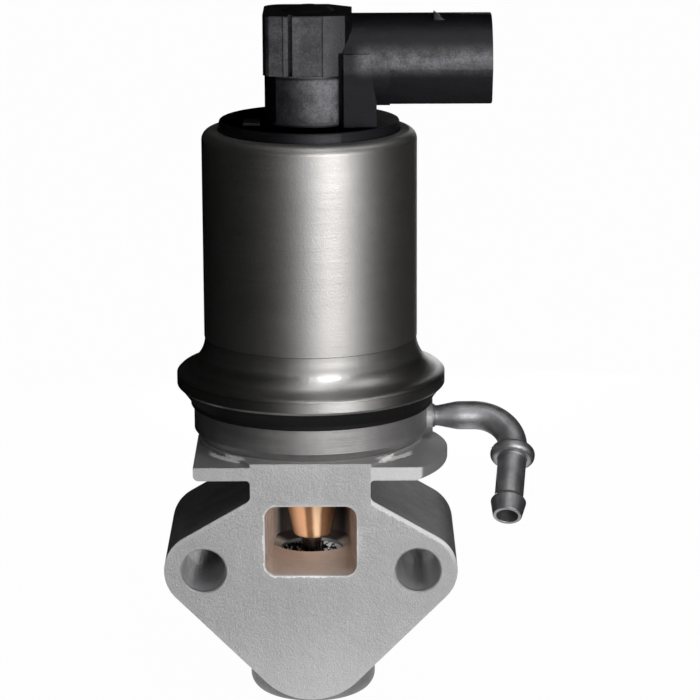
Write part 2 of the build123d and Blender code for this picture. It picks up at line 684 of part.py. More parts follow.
def flare_arc():
    """The concave flare on the outside of the can: how far its centre lies from the axis, and its radius."""
    rim = CAN_RIM_R - CAN_WALL / 2
    drop = CAN_FLARE_TOP - CAN_RIM_HEIGHT
    neck = CAN_R - CAN_STEP
    out = rim - neck
    radius = (out ** 2 + drop ** 2) / (2 * out)
    return neck + radius, radius


def solenoid_can():
    """The drawn can: crimped rim, concave flare, straight wall and a lip rolled in at the top."""
    rim_z = SEAL_TOP_Z
    flare_z = rim_z + CAN_FLARE_TOP
    rim_top = rim_z + CAN_RIM_HEIGHT
    shoulder = CAN_RIM_R - CAN_WALL / 2
    centre_r, outer_radius = flare_arc()
    inner_radius = centre_r - CAN_INNER_R
    inner_rim_z = flare_z - sqrt(inner_radius ** 2 - (centre_r - RIM_INNER_R) ** 2)

    outer_angle = acos((centre_r - shoulder) / outer_radius) / 2
    inner_angle = acos((centre_r - RIM_INNER_R) / inner_radius) / 2
    outer_mid = (centre_r - outer_radius * cos(outer_angle), flare_z - outer_radius * sin(outer_angle))
    inner_mid = (centre_r - inner_radius * cos(inner_angle), flare_z - inner_radius * sin(inner_angle))
    roll_r = CAN_R - CAN_ROLL_R
    roll_z = CAN_TOP_Z - CAN_ROLL_R
    inner_roll = CAN_ROLL_R - CAN_WALL
    diagonal = sqrt(0.5)
    crimp_r = RIM_INNER_R - CAN_CRIMP_OVERLAP
    edge = [
        Polyline((crimp_r, rim_z), (CAN_RIM_R - CAN_RIM_ROUND, rim_z), (CAN_RIM_R, rim_z + CAN_RIM_ROUND),
                 (CAN_RIM_R, rim_top - CAN_WALL / 2), (shoulder, rim_top)),
        ThreePointArc((shoulder, rim_top), outer_mid, (CAN_R - CAN_STEP, flare_z)),
        Polyline((CAN_R - CAN_STEP, flare_z), (CAN_R, flare_z), (CAN_R, roll_z)),
        ThreePointArc((CAN_R, roll_z), (roll_r + CAN_ROLL_R * diagonal, roll_z + CAN_ROLL_R * diagonal),
                      (roll_r, CAN_TOP_Z)),
        Polyline((roll_r, CAN_TOP_Z), (CAN_MOUTH_R, CAN_TOP_Z), (CAN_MOUTH_R, CAN_LIP_Z),
                 (roll_r, CAN_LIP_Z)),
        ThreePointArc((roll_r, CAN_LIP_Z), (roll_r + inner_roll * diagonal, roll_z + inner_roll * diagonal),
                      (CAN_INNER_R, roll_z)),
        Line((CAN_INNER_R, roll_z), (CAN_INNER_R, flare_z)),
        ThreePointArc((CAN_INNER_R, flare_z), inner_mid, (RIM_INNER_R, inner_rim_z)),
        Polyline((RIM_INNER_R, inner_rim_z), (RIM_INNER_R, rim_z + CAN_CRIMP), (crimp_r, rim_z + CAN_CRIMP),
                 (crimp_r, rim_z)),
    ]
    return on_axis(revolve(Plane.XZ * make_face(edge), Axis.Z))


def pole_base():
    """The steel base plate: crimped edge, hub up into the coil, spring pocket and a spigot below."""
    spigot_r = RING_BORE_R - PRESS_GAP
    spigot_z = SEAL_TOP_Z - SPIGOT_DEPTH
    edge_r = RIM_INNER_R - PRESS_GAP
    step_r = edge_r - CAN_CRIMP_OVERLAP - SLIP_GAP
    return on_axis(turned([
        (POCKET_R, SEAL_TOP_Z), (spigot_r - SPIGOT_WALL, SEAL_TOP_Z), (spigot_r - SPIGOT_WALL, spigot_z),
        (spigot_r, spigot_z), (spigot_r, SEAL_TOP_Z), (step_r, SEAL_TOP_Z),
        (step_r, SEAL_TOP_Z + CAN_CRIMP + PRESS_GAP), (edge_r, SEAL_TOP_Z + CAN_CRIMP + PRESS_GAP),
        (edge_r, BASE_EDGE_TOP_Z), (HUB_R, BASE_EDGE_TOP_Z), (HUB_R, HUB_TOP_Z), (CORE_SHANK_R, HUB_TOP_Z),
        (CORE_SHANK_R, POCKET_TOP_Z), (POCKET_R, POCKET_TOP_Z),
    ]))


def fixed_core():
    """The iron core under the armature, with a conical recess that the armature dips into."""
    return on_axis(turned([
        (CORE_BORE_R, POCKET_TOP_Z), (CORE_SHANK_R - PRESS_GAP, POCKET_TOP_Z),
        (CORE_SHANK_R - PRESS_GAP, HUB_TOP_Z), (CORE_R, HUB_TOP_Z), (CORE_R, CORE_TOP_Z),
        (CORE_CONE_TOP_R, CORE_TOP_Z), (CORE_CONE_FOOT_R, CORE_TOP_Z - CORE_CONE_DEPTH),
        (CORE_BORE_R, CORE_TOP_Z - CORE_CONE_DEPTH),
    ]))


def armature():
    """The moving iron, pressed on the stem, whose cone matches the recess in the core."""
    skirt_z = CORE_TOP_Z + VALVE_STROKE + AIR_GAP_REST
    outer = SLEEVE_BORE_R - SLIP_GAP
    return on_axis(turned([
        (STEM_R + PRESS_GAP, skirt_z - CORE_CONE_DEPTH),
        (CORE_CONE_FOOT_R - CONE_CLEARANCE, skirt_z - CORE_CONE_DEPTH),
        (CORE_CONE_TOP_R - CONE_CLEARANCE, skirt_z), (outer, skirt_z), (outer, ARMATURE_TOP_Z),
        (STEM_R + PRESS_GAP, ARMATURE_TOP_Z),
    ]))


def guide_sleeve():
    """The thin non-magnetic tube that the armature slides in."""
    return tube(SLEEVE_R, SLEEVE_BORE_R, HUB_TOP_Z + SLIP_GAP, BOBBIN_TOP_Z)


def coil_bobbin():
    """The moulded spool of the coil."""
    hub = BOBBIN_BORE_R + BOBBIN_WALL
    return on_axis(turned([
        (BOBBIN_BORE_R, BOBBIN_BOTTOM_Z), (COIL_R, BOBBIN_BOTTOM_Z),
        (COIL_R, BOBBIN_BOTTOM_Z + BOBBIN_FLANGE), (hub, BOBBIN_BOTTOM_Z + BOBBIN_FLANGE),
        (hub, BOBBIN_TOP_Z - BOBBIN_FLANGE), (COIL_R, BOBBIN_TOP_Z - BOBBIN_FLANGE),
        (COIL_R, BOBBIN_TOP_Z), (BOBBIN_BORE_R, BOBBIN_TOP_Z),
    ]))


def coil_winding():
    """The wound copper as one body."""
    inner = BOBBIN_BORE_R + BOBBIN_WALL + RUNNING_GAP
    bottom = BOBBIN_BOTTOM_Z + BOBBIN_FLANGE + RUNNING_GAP
    top = BOBBIN_TOP_Z - BOBBIN_FLANGE - RUNNING_GAP
    return tube(COIL_R - WINDING_MARGIN, inner, bottom, top)


def top_yoke():
    """The steel washer that closes the magnet at the top."""
    bottom = BOBBIN_TOP_Z + RUNNING_GAP
    return tube(CAN_INNER_R - RUNNING_GAP, BOBBIN_BORE_R, bottom, bottom + YOKE_THICKNESS)


def spring_seat():
    """The washer under the return spring."""
    bottom = GUIDE_BOSS_TOP_Z
    inner = GUIDE_R + STEM_SEAL_WALL + SLIP_GAP
    return tube(SPRING_SEAT_R, inner, bottom, bottom + SPRING_SEAT_THICKNESS)


def return_spring():
    """The spring that holds the valve shut."""
    bottom = GUIDE_BOSS_TOP_Z + SPRING_SEAT_THICKNESS
    return coil_spring(RETURN_WIRE_R, RETURN_COIL_R, RETURN_TURNS, bottom, RETAINER_Z)


def spring_retainer():
    """The plate on the stem that the return spring pushes up."""
    return tube(RETAINER_R, STEM_R + PRESS_GAP, RETAINER_Z, RETAINER_Z + RETAINER_THICKNESS)


def retainer_clip():
    """The open clip in the groove of the stem."""
    bottom = RETAINER_Z + RETAINER_THICKNESS
    top = bottom + CLIP_THICKNESS
    neck = STEM_R - CLIP_GROOVE
    clip = tube(CLIP_R, neck + PRESS_GAP, bottom, top)
    return clip - block(-neck, neck, AXIS_Y, AXIS_Y + 2 * CLIP_R, bottom, top)


def cap_foot():
    """The round foot of the connector cap: flange under the can's lip and a raised puck."""
    flange_r = CAN_INNER_R - SLIP_GAP
    top_z = CAN_LIP_Z - (CAN_ROLL_R - CAN_WALL)
    inner_roll_r = flange_r - (CAN_ROLL_R - CAN_WALL)
    groove_z = CAP_BOTTOM_Z + CAP_SEAL_GROOVE_Z
    groove_r = flange_r - 2 * CAP_SEAL_R + SLIP_GAP
    return on_axis(turned([
        (0, CAP_BOTTOM_Z + CAP_RECESS_DEPTH), (CAP_RECESS_R, CAP_BOTTOM_Z + CAP_RECESS_DEPTH),
        (CAP_RECESS_R, CAP_BOTTOM_Z), (flange_r, CAP_BOTTOM_Z), (flange_r, groove_z), (groove_r, groove_z),
        (groove_r, top_z - RUNNING_GAP * 2), (flange_r, top_z - RUNNING_GAP * 2), (flange_r, top_z),
        (inner_roll_r, CAN_LIP_Z), (CAP_PUCK_R, CAN_LIP_Z), (CAP_PUCK_R, PUCK_TOP_Z), (0, PUCK_TOP_Z),
    ], [(11, CAP_PUCK_ROUND)]))


def tower_plan():
    """The tower from above: panels, a ridge and grooves in front, rounded corners behind."""
    front = [(TOWER_LEFT_X + across, behind - TOWER_FRONT) for across, behind in TOWER_FRONT_LINE]
    right = front[-1][0]
    cut = [(right, TOWER_BACK - TOWER_CUT_DEEP), (right - TOWER_CUT_WIDE, TOWER_BACK)]
    back = cut + [(TOWER_LEFT_X, TOWER_BACK)]
    corner = len(front) + len(back) - 1
    return Pos(0, AXIS_Y) * rounded(front + back, [(corner, TOWER_CORNER_R)])


def cap_tower():
    """The tower with its panels, standing on a narrower block with a cylindrical front."""
    tower = extrude(Pos(0, 0, BLOCK_TOP_Z) * tower_plan(), amount=TOWER_TOP_Z - BLOCK_TOP_Z)
    front = rod(BLOCK_FRONT_R, PUCK_TOP_Z, BLOCK_TOP_Z)
    front &= block(BLOCK_LEFT_X, BLOCK_RIGHT_X, AXIS_Y - BLOCK_FRONT_R, AXIS_Y, PUCK_TOP_Z, BLOCK_TOP_Z)
    cut_x, cut_y = BLOCK_BASE_CUT
    front_y = AXIS_Y - BLOCK_BASE_FRONT
    back_y = AXIS_Y + BLOCK_BASE_FRONT
    plan = rounded([
        (BLOCK_BASE_LEFT_X, back_y), (BLOCK_BASE_LEFT_X, front_y + cut_y),
        (BLOCK_BASE_LEFT_X + cut_x, front_y), (GUSSET_RIGHT_X, front_y), (GUSSET_RIGHT_X, back_y),
    ])
    base = Pos(0, 0, PUCK_TOP_Z) * extrude(plan, amount=BLOCK_HEIGHT)
    plinth = rod(BLOCK_FRONT_R + BLOCK_PLINTH, PUCK_TOP_Z, PUCK_TOP_Z + BLOCK_PLINTH)
    plinth &= block(BLOCK_LEFT_X - BLOCK_PLINTH, BLOCK_RIGHT_X, AXIS_Y - 2 * BLOCK_FRONT_R, AXIS_Y,
                    PUCK_TOP_Z, PUCK_TOP_Z + BLOCK_PLINTH)
    return tower + front + base + plinth


def cap_gusset():
    """The cheek and the gusset beside the block, which carry the barrel."""
    top = PUCK_TOP_Z + CHEEK_HEIGHT
    cheek = block(CHEEK_LEFT_X, CHEEK_RIGHT_X, AXIS_Y - CHEEK_FRONT, AXIS_Y, PUCK_TOP_Z, top)
    side = rounded([
        (CHEEK_RIGHT_X, PUCK_TOP_Z), (GUSSET_FOOT_X, PUCK_TOP_Z), (GUSSET_FOOT_X, GUSSET_FOOT_Z),
        (GUSSET_RIGHT_X, GUSSET_KNEE_Z), (GUSSET_RIGHT_X, top), (CHEEK_RIGHT_X, top),
    ])
    gusset = from_front(side, GUSSET_FRONT + BLOCK_BASE_FRONT, AXIS_Y - GUSSET_FRONT)
    return cheek + gusset


def barrel_section(inset=0.0):
    """The keyed section of the barrel in Y and Z: half round above, tapered flanks below."""
    radius = BARREL_R - inset
    half = BARREL_FOOT_HALF - inset
    bottom = BARREL_BOTTOM_Z + inset
    round_top = Pos(AXIS_Y, BARREL_Z) * Circle(radius)
    upper = Pos(AXIS_Y, BARREL_Z + radius) * Rectangle(2 * radius, 2 * radius)
    lower = rounded([
        (AXIS_Y - radius, BARREL_Z), (AXIS_Y - half, bottom), (AXIS_Y + half, bottom),
        (AXIS_Y + radius, BARREL_Z),
    ], [(1, BARREL_FOOT_R), (2, BARREL_FOOT_R)])
    return (round_top & upper) + lower


def cap_barrel():
    """The connector barrel: round at its root, keyed section outwards, with a latch nose on top."""
    key_length = BARREL_END_X - BARREL_KEY_X
    key = Pos(BARREL_KEY_X, 0, 0) * extrude(Plane.YZ * barrel_section(), amount=key_length)
    key = fillet(key.faces().sort_by(Axis.X)[-1].edges(), BARREL_EDGE_R)
    root_length = BARREL_KEY_X - CHEEK_LEFT_X
    root = Pos(0, 0, root_length / 2) * Cylinder(BARREL_R, root_length)
    root = along_x(root, CHEEK_LEFT_X, AXIS_Y, BARREL_Z)
    root &= block(CHEEK_LEFT_X, BARREL_KEY_X, AXIS_Y - BARREL_R, AXIS_Y + BARREL_R,
                  BARREL_BOTTOM_Z, BARREL_Z + BARREL_R)
    top = BARREL_Z + BARREL_R + LATCH_RISE
    foot = top - LATCH_ROOT
    end = LATCH_X + LATCH_LENGTH
    side = rounded([(LATCH_X, foot), (end, foot), (end, top - LATCH_SLOPE), (LATCH_X, top)])
    nose = from_front(side, LATCH_WIDTH, AXIS_Y - LATCH_FRONT)
    return key + root + nose


def connector_cap():
    """The whole moulded cap."""
    cap = cap_foot() + cap_tower() + cap_gusset() + cap_barrel()
    cap -= block(BLOCK_RIGHT_X, CHEEK_LEFT_X, 0, AXIS_Y - SLOT_DEPTH,
                 PUCK_TOP_Z, PUCK_TOP_Z + CHEEK_HEIGHT)
    cap -= rod(SENSOR_BORE_R, SENSOR_FLOOR_Z, TOWER_TOP_Z)
    track = TRACK_WIDTH / 2 + SLIP_GAP
    cap -= block(0, TRACK_X + TRACK_THICKNESS + PRESS_GAP, AXIS_Y - track, AXIS_Y + track,
                 SENSOR_FLOOR_Z, SENSOR_FLOOR_Z + TRACK_HEIGHT + SLIP_GAP)
    cap -= rod(PLUNGER_R + RUNNING_GAP, CAP_BOTTOM_Z, SENSOR_FLOOR_Z)
    mouth = BARREL_END_X - BARREL_FLOOR_X
    cap -= Pos(BARREL_FLOOR_X, 0, 0) * extrude(Plane.YZ * barrel_section(BARREL_WALL), amount=mouth)
    for y in pin_places():
        wide = PIN_WIDTH / 2 + PRESS_GAP
        thick = PIN_THICKNESS / 2 + PRESS_GAP
        cap -= block(PIN_START_X, BARREL_FLOOR_X, y - wide, y + wide, BARREL_Z - thick, BARREL_Z + thick)
    pad_wide, pad_deep, pad_high = DISC_PAD
    pad_x, pad_y = DISC_PAD_AT
    pad = Pos(pad_x, AXIS_Y + pad_y, PUCK_TOP_Z + pad_high / 2) * Box(pad_wide, pad_deep, pad_high)
    return cap + pad


def pin_places():
    """The Y of each connector pin."""
    first = AXIS_Y - PIN_PITCH * (PIN_COUNT - 1) / 2
    return [first + PIN_PITCH * i for i in range(PIN_COUNT)]


def connector_pins():
    """The row of flat pins with chamfered tips."""
    pins = []
    for y in pin_places():
        pin = block(PIN_START_X, PIN_END_X, y - PIN_WIDTH / 2, y + PIN_WIDTH / 2,
                    BARREL_Z - PIN_THICKNESS / 2, BARREL_Z + PIN_THICKNESS / 2)
        tip = pin.faces().sort_by(Axis.X)[-1]
        pins.append(chamfer(tip.edges(), PIN_THICKNESS / 4).solid())
    return Compound(children=pins)


def cap_seal():
    """The O-ring in the flange of the cap."""
    ring_r = CAN_INNER_R - SLIP_GAP - CAP_SEAL_R + RUNNING_GAP
    z = CAP_BOTTOM_Z + CAP_SEAL_GROOVE_Z + CAP_SEAL_R + RUNNING_GAP
    section = Pos(ring_r, z) * RegularPolygon(CAP_SEAL_R - RUNNING_GAP, CAP_SEAL_SIDES)
    return on_axis(revolve(Plane.XZ * section, Axis.Z))


def sensor_plunger():
    """The plastic rod that follows the top of the stem."""
    flange_top = PLUNGER_FLANGE_Z + PLUNGER_FLANGE_THICKNESS
    return on_axis(turned([
        (0, STEM_TOP_Z + PLUNGER_GAP), (PLUNGER_R, STEM_TOP_Z + PLUNGER_GAP), (PLUNGER_R, PLUNGER_FLANGE_Z),
        (PLUNGER_FLANGE_R, PLUNGER_FLANGE_Z), (PLUNGER_FLANGE_R, flange_top), (PLUNGER_R, flange_top),
        (PLUNGER_R, PLUNGER_TOP_Z), (0, PLUNGER_TOP_Z),
    ]))


def sensor_wiper():
    """The sprung finger beside the plunger's flange that rubs on the track."""
    top = PLUNGER_FLANGE_Z
    bottom = top - WIPER_THICKNESS
    half = WIPER_WIDTH / 2
    reach = TRACK_X - RUNNING_GAP
    arm = block(PLUNGER_R + PRESS_GAP, reach, AXIS_Y - half, AXIS_Y + half, bottom, top)
    finger = block(reach - WIPER_THICKNESS, reach, AXIS_Y - half, AXIS_Y + half,
                   bottom, bottom + WIPER_LENGTH)
    return arm + finger


def sensor_spring():
    """The light spring between the plunger and the lid."""
    bottom = PLUNGER_FLANGE_Z + PLUNGER_FLANGE_THICKNESS
    return coil_spring(SENSOR_WIRE_R, SENSOR_COIL_R, SENSOR_TURNS, bottom, SENSOR_ROOF_Z)


def sensor_track():
    """The small plate with the resistive track, on the wall of the sensor bore."""
    half = TRACK_WIDTH / 2
    return block(TRACK_X, TRACK_X + TRACK_THICKNESS, AXIS_Y - half, AXIS_Y + half,
                 SENSOR_FLOOR_Z, SENSOR_FLOOR_Z + TRACK_HEIGHT)


def sensor_lid():
    """The round lid in the top of the tower, slightly domed."""
    radius = SENSOR_BORE_R - PRESS_GAP
    sphere_r = (radius ** 2 + LID_DOME ** 2) / (2 * LID_DOME)
    centre_z = TOWER_TOP_Z + LID_DOME - sphere_r
    return rod(radius, SENSOR_ROOF_Z, TOWER_TOP_Z + LID_DOME) & Pos(0, AXIS_Y, centre_z) * Sphere(sphere_r)


NODES = {
    "valve_body": valve_body,
    "seat_ring": seat_ring,
    "valve_head": valve_head,
    "valve_stem": valve_stem,
    "stem_guide": stem_guide,
    "stem_seal": stem_seal,
    "bottom_plug": bottom_plug,
    "adapter_ring": adapter_ring,
    "ring_screws": ring_screws,
    "vent_pipe": vent_pipe,
    "body_seal": body_seal,
    "solenoid_can": solenoid_can,
    "pole_base": pole_base,
    "fixed_core": fixed_core,
    "armature": armature,
    "guide_sleeve": guide_sleeve,
    "coil_bobbin": coil_bobbin,
    "coil_winding": coil_winding,
    "top_yoke": top_yoke,
    "spring_seat": spring_seat,
    "return_spring": return_spring,
    "spring_retainer": spring_retainer,
    "retainer_clip": retainer_clip,
    "connector_cap": connector_cap,
    "connector_pins": connector_pins,
    "cap_seal": cap_seal,
    "sensor_plunger": sensor_plunger,
    "sensor_wiper": sensor_wiper,
    "sensor_spring": sensor_spring,
    "sensor_track": sensor_track,
    "sensor_lid": sensor_lid,
}

os.makedirs("parts", exist_ok=True)
for name, make in NODES.items():
    export_step(make(), os.path.join("parts", name + ".step"))
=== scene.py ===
import json
from math import atan, cos, pi, radians, sin, tan

import bmesh
import bpy
from mathutils import Matrix, Vector

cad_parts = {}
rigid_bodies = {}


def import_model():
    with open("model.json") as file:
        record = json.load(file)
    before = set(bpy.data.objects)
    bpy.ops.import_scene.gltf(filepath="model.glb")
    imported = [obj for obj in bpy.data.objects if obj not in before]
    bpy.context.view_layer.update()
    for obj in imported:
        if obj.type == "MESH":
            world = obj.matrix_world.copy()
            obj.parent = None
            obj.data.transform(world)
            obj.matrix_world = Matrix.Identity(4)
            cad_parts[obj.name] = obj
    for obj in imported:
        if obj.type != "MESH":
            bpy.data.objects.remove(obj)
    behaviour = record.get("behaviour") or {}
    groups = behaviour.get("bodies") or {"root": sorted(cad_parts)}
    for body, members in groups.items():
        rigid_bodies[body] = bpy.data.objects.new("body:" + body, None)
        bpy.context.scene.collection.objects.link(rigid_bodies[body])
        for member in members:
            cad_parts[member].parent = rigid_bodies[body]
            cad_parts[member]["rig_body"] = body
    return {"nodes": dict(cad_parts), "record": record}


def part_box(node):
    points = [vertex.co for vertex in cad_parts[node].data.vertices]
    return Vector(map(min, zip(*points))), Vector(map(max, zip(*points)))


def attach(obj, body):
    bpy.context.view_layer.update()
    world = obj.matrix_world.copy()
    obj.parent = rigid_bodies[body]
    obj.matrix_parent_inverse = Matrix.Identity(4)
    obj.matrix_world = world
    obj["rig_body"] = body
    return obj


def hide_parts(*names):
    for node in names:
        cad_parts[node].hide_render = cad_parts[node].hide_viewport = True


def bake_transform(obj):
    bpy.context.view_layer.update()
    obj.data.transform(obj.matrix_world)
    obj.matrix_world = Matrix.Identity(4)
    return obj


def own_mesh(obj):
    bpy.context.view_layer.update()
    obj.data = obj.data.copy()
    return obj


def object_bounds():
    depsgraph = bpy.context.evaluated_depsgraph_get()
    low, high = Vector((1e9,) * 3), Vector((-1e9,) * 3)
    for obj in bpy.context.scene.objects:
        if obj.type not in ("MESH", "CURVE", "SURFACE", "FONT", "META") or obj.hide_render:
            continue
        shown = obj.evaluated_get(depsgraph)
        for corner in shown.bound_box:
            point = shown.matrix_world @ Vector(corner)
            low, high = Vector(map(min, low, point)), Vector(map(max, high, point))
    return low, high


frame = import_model()
cad_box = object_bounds()
nodes = frame["nodes"]

# Sizes of the object are in millimetres, and MM turns them into metres.
# The camera's distance, lamps, cards and floor are in metres.

MM = 0.001
AXIS_Y = 25.0
VALVE_AXIS = Vector((0, AXIS_Y * MM, 0))
FLOOR_Z = cad_box[0].z

WINDOW_WIDTH = 18.7
WINDOW_HEIGHT = 14.6
WINDOW_MIDDLE_Z = 6.2
WINDOW_CORNER = 2.4
TINT_HALF_WIDTH = 9.4
TINT_LOW_Z = -2.6
TINT_HIGH_Z = 13.6
TINT_BACK_Y = 33.0

BOLT_X = 21.75
BORE_ZONE_R = 4.8
LOBE_R = 8.0
SHOULDER = radians(30.0)
NECK_HALF = 12.2
PLATE_Z = 19.15
PAD_Z = 21.775
CAN_CREASE_Z = 43.5

SMOOTH_ANGLE = 35
TURNED_STEPS = 144


# Camera and lamps

def place_camera():
    """The photograph's viewpoint: in front, a little above, turned by a quarter of a degree."""
    tilt = 0.2402
    roll = -0.0046
    distance = 0.650
    target = Vector((8.13, 25.0, 39.88)) * MM
    focal_pixels = 3136
    picture_pixels = 700
    ahead = Vector((0, cos(tilt), -sin(tilt)))
    up = Vector((0, sin(tilt), cos(tilt)))
    right = Vector((1, 0, 0))
    side = cos(roll) * right + sin(roll) * up
    top = -sin(roll) * right + cos(roll) * up
    camera = bpy.data.objects.new("camera", bpy.data.cameras.new("camera"))
    bpy.context.scene.collection.objects.link(camera)
    camera.data.sensor_width = 36
    camera.data.lens = focal_pixels / picture_pixels * camera.data.sensor_width
    camera.data.clip_start = 0.01
    camera.data.clip_end = 20
    place = Matrix((side, top, -ahead)).transposed().to_4x4()
    place.translation = target - ahead * distance
    camera.matrix_world = place
    bpy.context.scene.camera = camera


def hung_lamp(name, kind, aim, azimuth, elevation, distance, power):
    """A lamp aimed at a point; azimuth 0 is in front and 90 to the right."""
    a, e = radians(azimuth), radians(elevation)
    way = Vector((sin(a) * cos(e), -cos(a) * cos(e), sin(e)))
    lamp = bpy.data.lights.new(name, kind)
    lamp.energy = power
    light = bpy.data.objects.new(name, lamp)
    bpy.context.scene.collection.objects.link(light)
    light.location = Vector(aim) + way * distance
    light.rotation_euler = (-way).to_track_quat("-Z", "Y").to_euler()
    light.visible_camera = False
    return lamp


def soft_light(name, azimuth, elevation, distance, width, height, power):
    """A rectangular soft light aimed at the middle of the valve."""
    lamp = hung_lamp(name, "AREA", (0.005, 0.02, 0.04), azimuth, elevation, distance, power)
    lamp.shape = "RECTANGLE"
    lamp.size = width
    lamp.size_y = height


def narrow_light(name, aim, azimuth, elevation, reach, softness, power):
    """A narrow beam on one spot of the valve; reach is the beam's radius there."""
    distance = 0.28
    lamp = hung_lamp(name, "SPOT", aim, azimuth, elevation, distance, power)
    lamp.shadow_soft_size = 0.003
    lamp.spot_size = 2 * atan(reach / distance)
    lamp.spot_blend = softness


# Finishes

class Shade:
    """Short calls for building the nodes of a material or world."""

    def __init__(self, owner):
        owner.use_nodes = True
        self.tree = owner.node_tree
        self.tree.nodes.clear()

    def node(self, kind):
        return self.tree.nodes.new(kind)

    def join(self, source, socket):
        """Links a socket, or sets a plain value on it."""
        if isinstance(source, bpy.types.NodeSocket):
            self.tree.links.new(source, socket)
        elif isinstance(source, tuple) and len(source) == 3 and socket.type == "RGBA":
            socket.default_value = (*source, 1)
        else:
            socket.default_value = source

    def math(self, operation, first, *others):
        """A math node, or a chain of them when there are more than two values."""
        for other in others or (0.0,):
            made = self.node("ShaderNodeMath")
            made.operation = operation
            self.join(first, made.inputs[0])
            self.join(other, made.inputs[1])
            first = made.outputs[0]
        return first

    def plus(self, *values):
        return self.math("ADD", *values)

    def minus(self, a, b):
        return self.math("SUBTRACT", a, b)

    def times(self, *values):
        return self.math("MULTIPLY", *values)

    def most(self, *values):
        return self.math("MAXIMUM", *values)

    def size(self, value):
        return self.math("ABSOLUTE", value)

    def distance(self, a, b):
        """How far the point (a, b) is from the origin."""
        return self.math("SQRT", self.plus(self.times(a, a), self.times(b, b)))

    def mix_shaders(self, share, a, b):
        """Shader a where share is 0 and b where it is 1."""
        mixed = self.node("ShaderNodeMixShader")
        for source, socket in zip((share, a, b), mixed.inputs):
            self.join(source, socket)
        return mixed.outputs[0]

    def where_seen(self, strength):
        """The strength for rays that show the background, and 0 for rays that carry its light."""
        path = self.node("ShaderNodeLightPath")
        rays = [path.outputs[f"Is {kind} Ray"] for kind in ("Camera", "Transmission", "Glossy")]
        return self.times(self.most(*rays), strength)


class Finish(Shade):
    """A material in object coordinates."""

    def __init__(self, name):
        self.material = bpy.data.materials.new(name)
        super().__init__(self.material)
        self.end = self.node("ShaderNodeOutputMaterial")
        self.shader = self.node("ShaderNodeBsdfPrincipled")
        self.join(self.shader.outputs["BSDF"], self.end.inputs["Surface"])
        self.place = self.node("ShaderNodeTexCoord").outputs["Object"]

    def xyz(self):
        """The place on the object in millimetres."""
        made = self.node("ShaderNodeSeparateXYZ")
        self.join(self.place, made.inputs[0])
        return [self.times(axis, 1 / MM) for axis in made.outputs]

    def scaled(self, x, y, z):
        """Object coordinates, stretched."""
        made = self.node("ShaderNodeMapping")
        made.inputs["Scale"].default_value = (x, y, z)
        self.join(self.place, made.inputs["Vector"])
        return made.outputs[0]

    def noise(self, scale, detail=3.0, roughness=0.6, vector=None):
        made = self.node("ShaderNodeTexNoise")
        self.join(self.place if vector is None else vector, made.inputs["Vector"])
        made.inputs["Scale"].default_value = scale
        made.inputs["Detail"].default_value = detail
        made.inputs["Roughness"].default_value = roughness
        return made.outputs["Fac"]

    def specks(self, scale):
        """Distance to the nearest of many scattered points."""
        made = self.node("ShaderNodeTexVoronoi")
        self.join(self.place, made.inputs["Vector"])
        made.inputs["Scale"].default_value = scale
        return made.outputs["Distance"]

    def fade(self, value, low, high, start=0.0, end=1.0):
        """Start below low, end above high, and a smooth step between."""
        made = self.node("ShaderNodeMapRange")
        made.interpolation_type = "SMOOTHSTEP"
        self.join(value, made.inputs["Value"])
        made.inputs["From Min"].default_value = low
        made.inputs["From Max"].default_value = high
        made.inputs["To Min"].default_value = start
        made.inputs["To Max"].default_value = end
        return made.outputs["Result"]

    def vary(self, noise, start=0.0, end=1.0):
        """A noise spread out from start to end."""
        return self.fade(noise, 0.3, 0.7, start, end)

    def jitter(self, scale, reach):
        """A ragged offset of at most the given reach to either side."""
        return self.fade(self.noise(scale, 4, 0.7), 0.2, 0.8, -reach, reach)

    def above(self, value, edge, soft, full=1.0):
        return self.fade(value, edge - soft, edge + soft, 0.0, full)

    def below(self, value, edge, soft):
        return self.fade(value, edge - soft, edge + soft, 1.0, 0.0)

    def between(self, value, low, high, soft=0.1):
        """1 where value lies between low and high."""
        return self.times(self.above(value, low, soft), self.below(value, high, soft))

    def blend(self, share, a, b):
        """Colour a where share is 0 and b where it is 1."""
        made = self.node("ShaderNodeMix")
        made.data_type = "RGBA"
        self.join(share, made.inputs[0])
        self.join(a, made.inputs[6])
        self.join(b, made.inputs[7])
        return made.outputs[2]

    def rim_distance(self, across, up, width, height, corner):
        """Distance to the outline of a rounded rectangle round the origin, positive outside."""
        over = self.minus(self.size(across), width / 2 - corner)
        above = self.minus(self.size(up), height / 2 - corner)
        inside = self.math("MINIMUM", self.most(over, above), 0.0)
        outside = self.distance(self.most(over, 0.0), self.most(above, 0.0))
        return self.minus(self.plus(outside, inside), corner)

    def bump(self, height, distance, before=None):
        """A normal raised by a height field; the distance is in millimetres."""
        made = self.node("ShaderNodeBump")
        made.inputs["Strength"].default_value = 1.0
        made.inputs["Distance"].default_value = distance * MM
        self.join(height, made.inputs["Height"])
        if before is not None:
            self.join(before, made.inputs["Normal"])
        return made.outputs[0]

    def finish(self, colour, roughness, metallic=0.0, normal=None, **constants):
        self.join(colour, self.shader.inputs["Base Color"])
        self.join(roughness, self.shader.inputs["Roughness"])
        self.join(metallic, self.shader.inputs["Metallic"])
        if normal is not None:
            self.join(normal, self.shader.inputs["Normal"])
        for name, value in constants.items():
            self.shader.inputs[name.replace("_", " ")].default_value = value
        return self.material


def casting_skin(f, z, mottle):
    """Dull grey skin, paler on the plate: painted light from above."""
    skin = f.blend(f.vary(mottle), (0.215, 0.215, 0.220), (0.265, 0.265, 0.270))
    # Painted light: the plate is paler because it faces the light from above.
    return f.blend(f.above(z, PLATE_Z, 0.15, 0.75), skin, (0.56, 0.56, 0.565))


